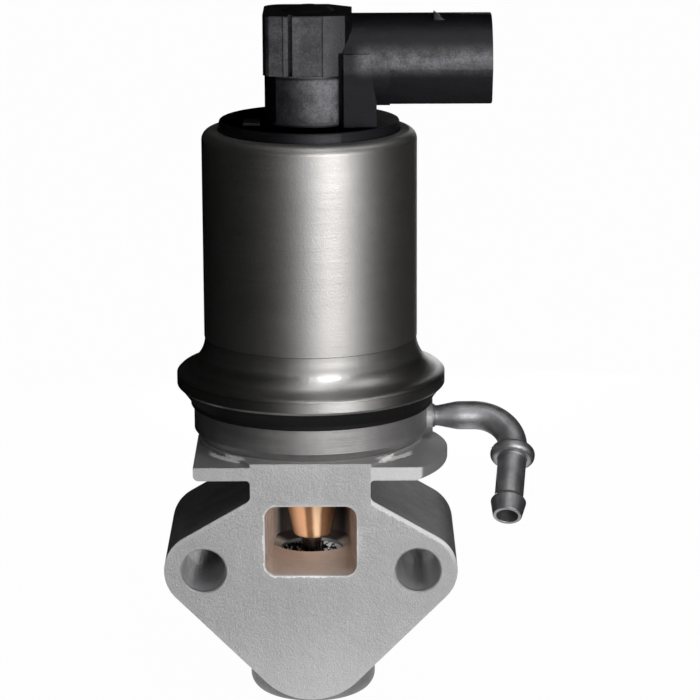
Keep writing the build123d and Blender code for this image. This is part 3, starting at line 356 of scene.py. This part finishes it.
def casting_face(f, grain):
    """Granular blasted metal with faint clouds and small dark pits."""
    face = f.blend(f.vary(grain), (0.478, 0.472, 0.474), (0.618, 0.610, 0.612))
    face = f.blend(f.fade(f.noise(60, 3, 0.6), 0.35, 0.65, 0.0, 0.35), face, (0.43, 0.43, 0.435))
    return f.blend(f.fade(f.noise(1100, 2, 0.5), 0.24, 0.34), (0.36, 0.36, 0.36), face)


def chamber_tint_and_shade(f, y, z):
    """Heat tint in the gas chamber, paler on the floor, with painted shade that turns it black at the
    back.
    """
    tint = f.blend(f.fade(f.noise(420, 3, 0.6), 0.35, 0.65), (0.70, 0.59, 0.53), (0.54, 0.44, 0.38))
    tint = f.blend(f.fade(z, -1.0, 0.2, 0.7, 0.0), tint, (0.82, 0.69, 0.60))
    # Painted shade: black deep in the chamber, towards its back.
    return f.blend(f.fade(y, 26.5, 29.5), tint, (0.03, 0.022, 0.018))


def worn_and_lit_rim(f, x, y, z):
    """The window's edge, chipped bright, with a painted highlight that makes it brightest at its lower
    left, where the edge faces the light.
    """
    up = f.minus(z, WINDOW_MIDDLE_Z)
    rim = f.rim_distance(x, up, WINDOW_WIDTH, WINDOW_HEIGHT, WINDOW_CORNER)
    rim = f.plus(rim, f.jitter(900, 0.3))
    # Painted highlight: the rim is brightest at the lower left, where its edge faces the lamps.
    lower_left = f.fade(f.plus(x, up), -8.0, 6.0, 1.0, 0.15)
    return f.times(f.between(rim, -0.4, 0.3), f.below(y, 0.9, 0.3), lower_left)


def edge_highlights(f, x, z, from_bolt):
    """Painted highlight along the flange's rounded shoulders and lobes where they catch the light, most
    on the right.
    """
    side = f.size(x)
    height = f.plus(f.times(side, sin(SHOULDER)), f.times(z, cos(SHOULDER)))
    inward = f.plus(f.minus(BOLT_X * sin(SHOULDER) + LOBE_R, height), f.jitter(1300, 0.3))
    shoulder = f.times(f.fade(inward, 0.6, 1.1, 1.0, 0.0), f.above(side, NECK_HALF, 0.2))
    shoulder = f.times(shoulder, f.fade(z, 15.0, 15.8, 1.0, 0.6))
    lobe = f.fade(from_bolt, LOBE_R - 1.0, LOBE_R - 0.5)
    lobe = f.times(lobe, f.fade(side, 22.5, 24.5), f.fade(z, 0.0, 6.0))
    # Painted highlight, strongest on the right, towards the lamps.
    return f.times(f.most(shoulder, lobe), f.fade(x, -4.0, 6.0, 0.10, 0.80))


def lit_flash_slivers(f, x, y, z):
    """Ragged bright patches beside the neck, where the adapter ring meets the casting: painted in place
    of raised flash slivers, their brightness a painted highlight.
    """
    from_axis = f.distance(x, f.minus(y, AXIS_Y))
    round_ring = f.between(f.plus(from_axis, f.jitter(1300, 0.6)), 24.0, 25.8)
    beside_neck = f.between(f.size(x), 13.4, 20.6, 0.6)
    # Painted highlight standing in for lit raised slivers.
    return f.times(round_ring, beside_neck, f.above(z, 21.15, 0.15), f.below(y, 20.0, 2.0))


def cast_aluminium():
    """Blasted casting: granular front, smoother skin elsewhere, tinted gas chamber with painted shade
    at its back, a worn window rim, and painted light on the plate, in the bolt holes, on the flange's
    edges and on flash slivers.
    """
    f = Finish("cast_aluminium")
    x, y, z = f.xyz()
    grain = f.noise(2400, 4, 0.65)
    mottle = f.noise(240, 3, 0.6)
    front = f.below(y, 0.4, 0.2)
    from_bolt = f.distance(f.minus(f.size(x), BOLT_X), z)
    blasted = f.most(front, f.above(z, PAD_Z, 0.075))
    colour = f.blend(blasted, casting_skin(f, z, mottle), casting_face(f, grain))
    # Painted light: the bolt holes are paler and less metallic to stand in for light reaching into
    # them.
    lit_bores = f.times(f.below(from_bolt, BORE_ZONE_R, 0.1), f.above(y, 1.1, 0.3), f.below(y, 20.0, 6.0))
    colour = f.blend(lit_bores, colour, (0.44, 0.44, 0.45))
    chamber = f.times(f.between(x, -TINT_HALF_WIDTH, TINT_HALF_WIDTH),
                      f.between(z, TINT_LOW_Z, TINT_HIGH_Z), f.between(y, 0.7, TINT_BACK_Y, 0.2))
    colour = f.blend(chamber, colour, chamber_tint_and_shade(f, y, z))
    # Pale where the window rim is chipped, plus painted highlights on the flange's edges and beside the
    # neck.
    rubbed = f.times(edge_highlights(f, x, z, from_bolt), front)
    bright = f.most(worn_and_lit_rim(f, x, y, z), lit_flash_slivers(f, x, y, z), rubbed)
    colour = f.blend(bright, colour, (0.92, 0.91, 0.90))
    metal = f.minus(0.75, f.times(f.most(lit_bores, chamber, bright), 0.65))
    normal = f.bump(grain, 0.08)
    normal = f.bump(f.noise(5200, 2, 0.6), 0.03, normal)
    normal = f.bump(mottle, 0.12, normal)
    return f.finish(colour, f.vary(grain, 0.46, 0.62), metal, normal)


def turned_ring():
    """Turned metal with fine lines round the axis."""
    f = Finish("turned_ring")
    lines = f.noise(1.0, 3, 0.6, f.scaled(60, 60, 5200))
    grain = f.noise(2600, 3, 0.6)
    colour = f.blend(f.vary(f.noise(120, 3, 0.6)), (0.350, 0.342, 0.340), (0.434, 0.424, 0.422))
    rough = f.plus(f.vary(lines, 0.52, 0.62), f.vary(grain, 0.0, 0.06))
    return f.finish(colour, rough, 1.0, f.bump(lines, 0.04, f.bump(grain, 0.02)))


def can_plating():
    """Warm satin plating, finely rubbed round the can, with painted shade in the flare's concave part,
    at the rim and along the crease above the flare.
    """
    f = Finish("can_plating")
    x, y, z = f.xyz()
    lines = f.noise(1.0, 4, 0.6, f.scaled(90, 90, 2600))
    grain = f.noise(3500, 2, 0.6)
    colour = f.blend(f.vary(f.noise(70, 4, 0.6)), (0.400, 0.388, 0.380), (0.455, 0.442, 0.433))
    # Painted shade: darker in the flare's concave part and in a band at the rim.
    hollow_shade = f.times(f.fade(z, 39.5, 41.0, 0.0, 0.28), f.below(z, CAN_CREASE_Z, 0.1))
    edge = f.times(f.between(z, 35.5, 37.5, 0.4), 0.22)
    colour = f.blend(f.most(hollow_shade, edge), colour, (0.0, 0.0, 0.0))
    # Painted shade along the crease above the flare.
    crease = f.between(z, CAN_CREASE_Z - 0.1, CAN_CREASE_Z + 0.1)
    colour = f.blend(f.times(crease, 0.6), colour, (0.10, 0.10, 0.10))
    colour = f.blend(f.fade(grain, 0.35, 0.65, 0.10, 0.0), colour, (0.20, 0.20, 0.20))
    rough = f.plus(f.vary(lines, 0.42, 0.46), f.vary(grain, 0.0, 0.05))
    rough = f.times(rough, f.fade(z, 39.2, 40.8, 0.76, 1.0))
    return f.finish(colour, rough, 1.0, f.bump(lines, 0.012, f.bump(grain, 0.03)))


def pipe_plating():
    """Plated tube, dull and slightly mottled."""
    f = Finish("pipe_plating")
    grain = f.noise(2600, 2, 0.6)
    colour = f.blend(f.vary(f.noise(300, 3, 0.6)), (0.325, 0.325, 0.336), (0.460, 0.460, 0.471))
    return f.finish(colour, f.vary(grain, 0.44, 0.58), 1.0, f.bump(grain, 0.04))


def ground_steel(name, low, high, roughness):
    """Steel turned or ground round the valve axis."""
    f = Finish(name)
    lines = f.noise(1.0, 3, 0.6, f.scaled(80, 80, 6000))
    colour = f.blend(f.vary(f.noise(420, 3, 0.6)), low, high)
    rough = f.vary(lines, roughness - 0.06, roughness + 0.06)
    return f.finish(colour, rough, 1.0, f.bump(lines, 0.02))


def bronze_painted_reflections():
    """Bronze bush with painted reflections in bands round its nose: salmon on the left for the lit
    chamber wall, cream right of the middle for the key lamp, and dark brown on the right for painted
    shade.
    """
    f = Finish("bronze_painted_reflections")
    x, y, z = f.xyz()
    cloud = f.noise(260, 3, 0.6)
    turn = f.math("ARCTAN2", x, f.minus(AXIS_Y, y))
    turn = f.plus(turn, f.vary(f.noise(1.0, 2, 0.5, f.scaled(500, 500, 60)), -0.04, 0.04))
    colour = f.blend(f.vary(cloud), (0.30, 0.15, 0.075), (0.22, 0.11, 0.055))
    # Painted reflection of the lit left chamber wall.
    left = f.times(f.fade(turn, -1.35, -0.45), f.below(turn, -0.26, 0.10))
    colour = f.blend(left, colour, (0.98, 0.56, 0.32))
    # Painted highlight: reflection of the key lamp.
    colour = f.blend(f.between(turn, 0.09, 0.38, 0.10), colour, (1.0, 0.70, 0.45))
    # Painted shade on the right, where the window's edge shadows the bush.
    colour = f.blend(f.fade(turn, 0.55, 0.80), colour, (0.18, 0.09, 0.045))
    return f.finish(colour, f.vary(cloud, 0.16, 0.24), 0.35, f.bump(cloud, 0.02))


def sooty_seat_glints():
    """Hard seat metal, dark with soot, with bright flakes most on the right that are painted glints
    where the light falls.
    """
    f = Finish("sooty_seat_glints")
    x, y, z = f.xyz()
    grain = f.noise(1100, 4, 0.75)
    # Painted glints: bright flakes, more of them on the right, where the light falls.
    flakes = f.plus(f.specks(1100), f.fade(x, 2.0, 3.4, 0.0, -0.22))
    glint_flakes = f.fade(flakes, 0.25, 0.45, 1.0, 0.0)
    colour = f.blend(glint_flakes, (0.05, 0.045, 0.04), (0.95, 0.94, 0.92))
    rough = f.plus(f.vary(grain, 0.10, 0.30), f.times(glint_flakes, 0.22))
    metal = f.minus(1.0, f.times(glint_flakes, f.fade(x, 2.0, 3.4, 0.0, 0.85)))
    return f.finish(colour, rough, metal, f.bump(grain, 1.2))


def moulded_rubber():
    """Matt black rubber with a fine skin."""
    f = Finish("moulded_rubber")
    grain = f.noise(2200, 3, 0.6)
    colour = f.blend(f.vary(grain), (0.003, 0.003, 0.003), (0.007, 0.007, 0.007))
    rough = f.vary(grain, 0.60, 0.80)
    return f.finish(colour, rough, 0.0, f.bump(grain, 0.03), Specular_IOR_Level=0.25)


def dust_and_sheen(f, x, z, grain):
    """Where the cap is grey: rubbed dust, partly painted sheen and shade, on the tower, its foot and
    the barrel's side.
    """
    scuffs = f.fade(f.noise(300, 6, 0.75), 0.30, 0.70, 0.45, 1.55)
    scuffs = f.times(scuffs, f.vary(grain, 0.6, 1.4))
    tower = f.times(f.between(z, 98.2, 110.4, 0.2), f.fade(x, -8.8, -7.6))
    # Painted shade: the tower's grey fades out towards the barrel root on the right.
    tower = f.times(tower, f.fade(x, 2.0, 7.2, 0.22, 0.0))
    foot = f.times(f.between(z, 88.8, 97.8, 0.3), f.between(x, -6.6, 6.2, 0.2))
    # Painted light: the foot is greyer towards the right, where the light falls.
    foot = f.times(foot, f.fade(x, -6.0, 6.2, 0.07, 0.64))
    # Painted sheen: a grey band along the barrel's side where it catches the light.
    side = f.times(f.between(z, 100.0, 103.6, 2.2), f.fade(x, 8.5, 11.0, 0.0, 0.50))
    return f.times(scuffs, f.most(tower, foot, side))


def glass_filled_black():
    """Black glass-filled plastic: fine texture, faint flow marks, and grey rubbed dust with painted
    sheen and shade.
    """
    f = Finish("glass_filled_black")
    x, y, z = f.xyz()
    grain = f.noise(3000, 4, 0.7)
    flow = f.noise(1.0, 4, 0.6, f.scaled(160, 160, 420))
    colour = f.blend(f.vary(flow), (0.002, 0.002, 0.0025), (0.004, 0.004, 0.005))
    # Grey rubbed dust, which also carries painted sheen and shade.
    colour = f.blend(dust_and_sheen(f, x, z, grain), colour, (0.235, 0.235, 0.25))
    gusset = f.times(f.fade(x, 6.4, 6.8), f.fade(z, 98.5, 99.8, 1.0, 0.0))
    rough = f.plus(f.vary(grain, 0.38, 0.48), f.times(gusset, 0.22))
    normal = f.bump(flow, 0.14, f.bump(grain, 0.06))
    return f.finish(colour, rough, 0.0, normal,
                    Specular_IOR_Level=0.36, Specular_Tint=(0.93, 0.94, 1.0, 1))


def plain_moulding(name, low, high, roughness):
    """A moulded plastic with faint clouding."""
    f = Finish(name)
    cloud = f.noise(500, 3, 0.6)
    rough = f.vary(cloud, roughness - 0.05, roughness + 0.05)
    return f.finish(f.blend(f.vary(cloud), low, high), rough, 0.0, f.bump(cloud, 0.03))


def wound_copper():
    """Enamelled wire laid in rows round the bobbin."""
    f = Finish("wound_copper")
    x, y, z = f.xyz()
    row_pitch = 0.6
    rows = f.math("SINE", f.times(z, 2 * pi / row_pitch))
    shade = f.noise(300, 3, 0.6)
    colour = f.blend(f.vary(shade), (0.42, 0.13, 0.05), (0.60, 0.22, 0.09))
    return f.finish(colour, f.vary(shade, 0.25, 0.35), 1.0, f.bump(rows, 0.1))


MATERIALS = {
    "cast_aluminium": cast_aluminium(),
    "turned_metal": turned_ring(),
    "can_steel": can_plating(),
    "pipe_steel": pipe_plating(),
    "hard_steel": ground_steel("hard_steel", (0.20, 0.19, 0.18), (0.32, 0.31, 0.30), 0.15),
    "zinc_steel": ground_steel("zinc_steel", (0.50, 0.50, 0.48), (0.62, 0.62, 0.60), 0.36),
    "spring_steel": ground_steel("spring_steel", (0.30, 0.30, 0.30), (0.42, 0.42, 0.42), 0.32),
    "magnet_iron": ground_steel("magnet_iron", (0.32, 0.32, 0.32), (0.44, 0.44, 0.44), 0.34),
    "sleeve_metal": ground_steel("sleeve_metal", (0.55, 0.53, 0.49), (0.66, 0.64, 0.60), 0.26),
    "bronze": bronze_painted_reflections(),
    "black_rubber": moulded_rubber(),
    "cap_plastic": glass_filled_black(),
    "bobbin_plastic": plain_moulding("bobbin_plastic", (0.52, 0.49, 0.42), (0.62, 0.59, 0.51), 0.45),
    "copper": wound_copper(),
    "contact_metal": ground_steel("contact_metal", (0.60, 0.54, 0.38), (0.72, 0.66, 0.50), 0.28),
    "track_plate": plain_moulding("track_plate", (0.05, 0.07, 0.05), (0.09, 0.12, 0.09), 0.30),
}
SLOT_OF = {s["node"]: s["material_slot"] for s in frame["record"]["subparts"]}


# Shapes

def scene_object(name, made):
    """An object in the scene that takes over a bmesh."""
    data = bpy.data.meshes.new(name)
    made.to_mesh(data)
    made.free()
    thing = bpy.data.objects.new(name, data)
    bpy.context.scene.collection.objects.link(thing)
    return thing


def new_piece(name, made, node, rides=True, angle=SMOOTH_ANGLE):
    """A finished piece in place of a CAD node, riding on its body unless it follows two."""
    piece = scene_object(name, made)
    slot = SLOT_OF[node]
    piece.data.materials.append(MATERIALS[slot])
    if rides:
        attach(piece, nodes[node]["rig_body"])
    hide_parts(node)
    piece.data.shade_smooth()
    piece.data.set_sharp_from_angle(angle=radians(angle))
    return piece


def fillet_points(before, corner, after, radius, steps=6):
    """Points of the arc that rounds a corner of a flat outline."""
    a = (Vector(before) - Vector(corner)).normalized()
    b = (Vector(after) - Vector(corner)).normalized()
    half = a.angle(b) / 2
    middle = Vector(corner) + (a + b).normalized() * (radius / sin(half))
    start = Vector(corner) + a * (radius / tan(half))
    sweep = pi - 2 * half
    turn = 1 if a.cross(b) < 0 else -1
    arm = start - middle
    points = []
    for i in range(steps + 1):
        angle = turn * sweep * i / steps
        points.append(middle + Vector((arm.x * cos(angle) - arm.y * sin(angle),
                                       arm.x * sin(angle) + arm.y * cos(angle))))
    return points


def lathed(name, profile, node):
    """A piece turned about the valve's axis from a closed outline of (radius, height) points."""
    made = bmesh.new()
    verts = [made.verts.new((r * MM, VALVE_AXIS.y, z * MM)) for r, z in profile]
    edges = [made.edges.new((a, b)) for a, b in zip(verts, verts[1:] + verts[:1])]
    bmesh.ops.spin(made, geom=verts + edges, cent=VALVE_AXIS, axis=(0, 0, 1), angle=2 * pi,
                   steps=TURNED_STEPS, use_merge=True, use_duplicate=False)
    bmesh.ops.remove_doubles(made, verts=made.verts, dist=1e-6)
    bmesh.ops.recalc_face_normals(made, faces=made.faces)
    return new_piece(name, made, node)


def cad_copy(node):
    """A bmesh copy of a CAD node's mesh with its doubled corners joined."""
    made = bmesh.new()
    made.from_mesh(nodes[node].data)
    bmesh.ops.remove_doubles(made, verts=made.verts, dist=2e-6)
    return made


def softened(node, width, segments=2, cuts=()):
    """A copy of a CAD node with sharp edges rounded off, cut by (point, direction) planes."""
    made = cad_copy(node)
    bmesh.ops.dissolve_limit(made, angle_limit=radians(1), verts=made.verts, edges=made.edges)
    for point, direction in cuts:
        everything = made.verts[:] + made.edges[:] + made.faces[:]
        bmesh.ops.bisect_plane(made, geom=everything, plane_co=Vector(point) * MM, plane_no=direction,
                               clear_outer=True)
        rim = [e for e in made.edges if e.is_boundary]
        bmesh.ops.triangle_fill(made, use_beauty=True, use_dissolve=True, edges=rim)
    piece = new_piece(node + "_dressed", made, node)
    rounding = piece.modifiers.new("rounding", "BEVEL")
    rounding.limit_method = "ANGLE"
    rounding.angle_limit = radians(SMOOTH_ANGLE)
    rounding.width = width * MM
    rounding.segments = segments
    rounding.use_clamp_overlap = True
    even = piece.modifiers.new("even", "WEIGHTED_NORMAL")
    even.keep_sharp = True
    return piece


# Connector cap

BARREL_Z = 99.7
BARREL_R = 10.22
BARREL_BOTTOM_Z = 92.25
BARREL_FOOT_HALF = 6.6
BARREL_FOOT_ROUND = 2.0
BARREL_WALL = 1.7
BARREL_ROOT_X = 7.3
BARREL_CUT_X = 13.75
BARREL_KEY_X = 16.4
BARREL_FLOOR_X = 17.5
BARREL_END_X = 37.0
ARC_STEP = 3

LATCH_START_X = 25.2
LATCH_END_X = 27.9
LATCH_Y = AXIS_Y - 4.2
LATCH_WIDTH = 1.8
LATCH_FOOT_Z = BARREL_Z + BARREL_R - 1.75
LATCH_LOW = 0.65
LATCH_HIGH = 2.65

CAN_LIP_Z = 85.4
PUCK_TOP_Z = 88.4
PUCK_R = 18.4
CAP_BOTTOM_Z = 82.2
CAP_BORE_R = 1.95
CAP_RECESS_R = 12.0
CAP_DISC_R = 20.9
CAP_GROOVE_R = 19.7
CAP_FOOT = [
    (CAP_BORE_R, CAP_BOTTOM_Z + 2.0), (CAP_RECESS_R, CAP_BOTTOM_Z + 2.0),
    (CAP_RECESS_R, CAP_BOTTOM_Z), (CAP_DISC_R, CAP_BOTTOM_Z),
    (CAP_DISC_R, CAP_BOTTOM_Z + 0.8), (CAP_GROOVE_R, CAP_BOTTOM_Z + 0.8),
    (CAP_GROOVE_R, CAN_LIP_Z - 1.1), (CAP_DISC_R, CAN_LIP_Z - 1.1),
    (CAP_DISC_R, CAN_LIP_Z - 1.0), (CAP_DISC_R - 1.0, CAN_LIP_Z),
    (PUCK_R, CAN_LIP_Z), (PUCK_R, PUCK_TOP_Z - 0.4),
    (PUCK_R - 0.12, PUCK_TOP_Z - 0.12), (PUCK_R - 0.4, PUCK_TOP_Z),
    (CAP_BORE_R, PUCK_TOP_Z),
]


def key_section(inset=0.0):
    """The barrel's keyed outline as (across, up) points: half round above, tapered below."""
    radius = BARREL_R - inset
    half = BARREL_FOOT_HALF - inset
    drop = BARREL_BOTTOM_Z + inset - BARREL_Z
    arc = [(radius * cos(radians(a)), radius * sin(radians(a))) for a in range(0, 181, ARC_STEP)]
    left_foot = fillet_points(arc[-1], (-half, drop), (half, drop), BARREL_FOOT_ROUND)
    right_foot = fillet_points((-half, drop), (half, drop), arc[0], BARREL_FOOT_ROUND)
    return arc + left_foot + right_foot


def ring_of(made, section, x):
    """A closed loop of edges with the outline standing at x."""
    verts = [made.verts.new((x * MM, (AXIS_Y + across) * MM, (BARREL_Z + up) * MM))
             for across, up in section]
    return [made.edges.new((a, b)) for a, b in zip(verts, verts[1:] + verts[:1])]


def bridged(made, loops):
    """Joins a row of edge loops with faces and closes both ends."""
    for a, b in zip(loops, loops[1:]):
        bmesh.ops.bridge_loops(made, edges=a + b)
    bmesh.ops.contextual_create(made, geom=loops[0])
    bmesh.ops.contextual_create(made, geom=loops[-1])


def connector_barrel():
    """The barrel: keyed outside, open mouth and floor."""
    made = bmesh.new()
    rows = [
        (BARREL_KEY_X, 0.0), (BARREL_END_X - 0.40, 0.0),
        (BARREL_END_X - 0.12, 0.06), (BARREL_END_X, 0.30),
        (BARREL_END_X, BARREL_WALL - 0.25), (BARREL_END_X - 0.25, BARREL_WALL),
        (BARREL_FLOOR_X, BARREL_WALL),
    ]
    bridged(made, [ring_of(made, key_section(inset), x) for x, inset in rows])
    bmesh.ops.recalc_face_normals(made, faces=made.faces)
    new_piece("connector_barrel", made, "connector_cap")


def barrel_root():
    """The round root between the tower and the keyed barrel, flat below."""
    made = bmesh.new()
    circle = [(BARREL_R * cos(radians(a)), BARREL_R * sin(radians(a))) for a in range(0, 360, ARC_STEP)]
    bridged(made, [ring_of(made, circle, x) for x in (BARREL_ROOT_X, BARREL_KEY_X)])
    bmesh.ops.bisect_plane(made, geom=made.verts[:] + made.edges[:] + made.faces[:],
                           plane_co=(0, 0, BARREL_BOTTOM_Z * MM), plane_no=(0, 0, -1), clear_outer=True)
    bmesh.ops.contextual_create(made, geom=[e for e in made.edges if e.is_boundary])
    bmesh.ops.recalc_face_normals(made, faces=made.faces)
    new_piece("barrel_root", made, "connector_cap")


def latch_nose():
    """The wedge on top of the barrel that the plug's latch snaps over."""
    made = bmesh.new()
    outline = [
        (LATCH_START_X, LATCH_FOOT_Z), (LATCH_END_X, LATCH_FOOT_Z),
        (LATCH_END_X, LATCH_FOOT_Z + LATCH_LOW), (LATCH_START_X, LATCH_FOOT_Z + LATCH_HIGH),
    ]
    made.faces.new([made.verts.new((x * MM, LATCH_Y * MM, z * MM)) for x, z in outline])
    grown = bmesh.ops.extrude_face_region(made, geom=made.faces[:])["geom"]
    moved = [g for g in grown if isinstance(g, bmesh.types.BMVert)]
    bmesh.ops.translate(made, verts=moved, vec=(0, LATCH_WIDTH * MM, 0))
    bmesh.ops.recalc_face_normals(made, faces=made.faces)
    bmesh.ops.bevel(made, geom=made.edges[:], offset=0.12 * MM, affect="EDGES", segments=2, profile=0.5,
                    material=-1)
    new_piece("latch_nose", made, "connector_cap")


# Inside pieces

def guide_profile():
    """The stem guide's section: bore, rounded tip, tapered nose, shoulder and shank."""
    bore, tip, bulb, shank = 2.05, 4.0, 5.85, 5.0
    bottom, bulb_z, roof, top = 0.2, 9.5, 13.5, 26.8
    nose = fillet_points((bore, bottom), (tip, bottom), (bulb, bulb_z), 1.1)
    above = [(bulb, bulb_z), (bulb, roof), (shank, roof), (shank, top), (bore, top)]
    return [(bore, bottom)] + nose + above


def working_springs():
    """Each coil spring is copied: it rides on its body when its free end lies above its fixed end, and
    is baked in place otherwise.
    """
    for joint in frame["record"]["behaviour"]["joints"]:
        for spring in joint.get("deforming_nodes", ()):
            name = spring["node"]
            low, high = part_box(name)
            fixed = spring["fixed_end_z_m"]
            free = max((low.z, high.z), key=lambda z: abs(z - fixed))
            pressed = free > fixed
            piece = new_piece(name + "_coil", cad_copy(name), name, rides=pressed, angle=50)
            if pressed:
                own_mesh(piece)
            else:
                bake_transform(piece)


# Floor, studio and view

def pale_floor():
    """A plain pale floor under the valve, white where it is seen."""
    made = bmesh.new()
    bmesh.ops.create_grid(made, x_segments=1, y_segments=1, size=6)
    bmesh.ops.translate(made, verts=made.verts, vec=(0, 0, FLOOR_Z - 0.0002))
    floor = scene_object("floor", made)
    f = Finish("pale_floor")
    f.finish(f.blend(f.noise(3, 2, 0.5), (0.80, 0.80, 0.80), (0.84, 0.84, 0.84)), 0.8)
    glow = f.node("ShaderNodeEmission")
    glow.inputs["Color"].default_value = (1, 1, 1, 1)
    mixed = f.mix_shaders(f.where_seen(0.98), f.shader.outputs[0], glow.outputs[0])
    f.join(mixed, f.end.inputs["Surface"])
    floor.data.materials.append(f.material)


def studio_world():
    """Soft grey light from all round, white where it is seen."""
    world = bpy.data.worlds.new("studio")
    bpy.context.scene.world = world
    shade = Shade(world)
    room = shade.node("ShaderNodeBackground")
    room.inputs["Color"].default_value = (0.20, 0.20, 0.205, 1)
    white = shade.node("ShaderNodeBackground")
    white.inputs["Color"].default_value = (1, 1, 1, 1)
    mixed = shade.mix_shaders(shade.where_seen(1.0), room.outputs[0], white.outputs[0])
    shade.join(mixed, shade.node("ShaderNodeOutputWorld").inputs["Surface"])


CARD_R = 0.30
CARD_TOP_Z = 0.90


def around(start, end, radius, z, steps=24):
    """Points on a circle round the valve, azimuth 0 in front and 90 to the right."""
    angles = [radians(start + (end - start) * i / steps) for i in range(steps + 1)]
    return [(sin(a) * radius, VALVE_AXIS.y - cos(a) * radius, z) for a in angles]


def black_card(name, first_row, second_row):
    """A black card between two rows of points, seen only in reflections: it keeps the white room
    out of the metal."""
    made = bmesh.new()
    first = [made.verts.new(p) for p in first_row]
    second = [made.verts.new(p) for p in second_row]
    for a, b, c, d in zip(first, first[1:], second[1:], second):
        made.faces.new((a, b, c, d))
    card = scene_object(name, made)
    f = Finish(name + "_card")
    colour = f.blend(f.noise(20), (0.004, 0.004, 0.004), (0.006, 0.006, 0.006))
    f.finish(colour, 1.0, 0.0, Specular_IOR_Level=0.0)
    card.data.materials.append(f.material)
    card.visible_camera = False
    card.visible_diffuse = False
    card.visible_shadow = False
    card.visible_transmission = False


def standing_card(name, start, end, low, steps=24):
    """A curved black wall round the valve."""
    foot = around(start, end, CARD_R, low, steps)
    head = around(start, end, CARD_R, CARD_TOP_Z, steps)
    black_card(name, foot, head)


def lying_card(name, inner, height):
    """A flat black ring about the valve's axis."""
    black_card(name, around(0, 360, CARD_R, height), around(0, 360, inner, height + 0.0002))


# The object's pieces

for name, node in nodes.items():
    node.data.materials.clear()
    node.data.materials.append(MATERIALS[SLOT_OF[name]])

softened("valve_body", 0.35)
softened("connector_cap", 0.25, cuts=[
    ((BARREL_CUT_X, 0, 0), (1, 0, 0)), ((0, 0, PUCK_TOP_Z - 0.1), (0, 0, -1)),
])
lathed("cap_foot", CAP_FOOT, "connector_cap")
connector_barrel()
barrel_root()
latch_nose()
softened("solenoid_can", 0.25, segments=3)
softened("adapter_ring", 0.20)
softened("body_seal", 0.15)
softened("vent_pipe", 0.20)
softened("bottom_plug", 0.15)
lathed("polished_guide", guide_profile(), "stem_guide")
working_springs()
seat = softened("seat_ring", 0.10)
seat.data.materials[0] = sooty_seat_glints()

place_camera()
pale_floor()
studio_world()
standing_card("round_flag", 55, 350, FLOOR_Z, steps=60)
standing_card("front_flag", -10, 55, 0.20)
lying_card("roof_flag", 0.002, CARD_TOP_Z)
lying_card("table_mat", 0.06, FLOOR_Z + 0.0002)
soft_light("key_light", 23, -1, 0.55, 0.26, 0.33, 2.10)
soft_light("top_light", 17, 64, 0.35, 0.06, 0.30, 0.24)
soft_light("right_light", 78, 58, 0.32, 0.10, 0.10, 0.07)
soft_light("back_light", 180, -12, 0.28, 0.05, 0.03, 0.25)
soft_light("rim_light", 166, 3, 0.28, 0.05, 0.20, 0.055)
narrow_light("window_light", (0, 0, WINDOW_MIDDLE_Z * MM), 3, 9, 0.48 * WINDOW_HEIGHT * MM, 0.5, 2.4)
narrow_light("seat_light", (0.0030, 0.0270, -0.0022), 4, 17, 0.0046, 0.5, 2.4)
narrow_light("flare_light", (0.003, 0, 0.036), 24, 45, 0.015, 1.0, 0.78)

scene = bpy.context.scene
scene.view_settings.view_transform = "Standard"
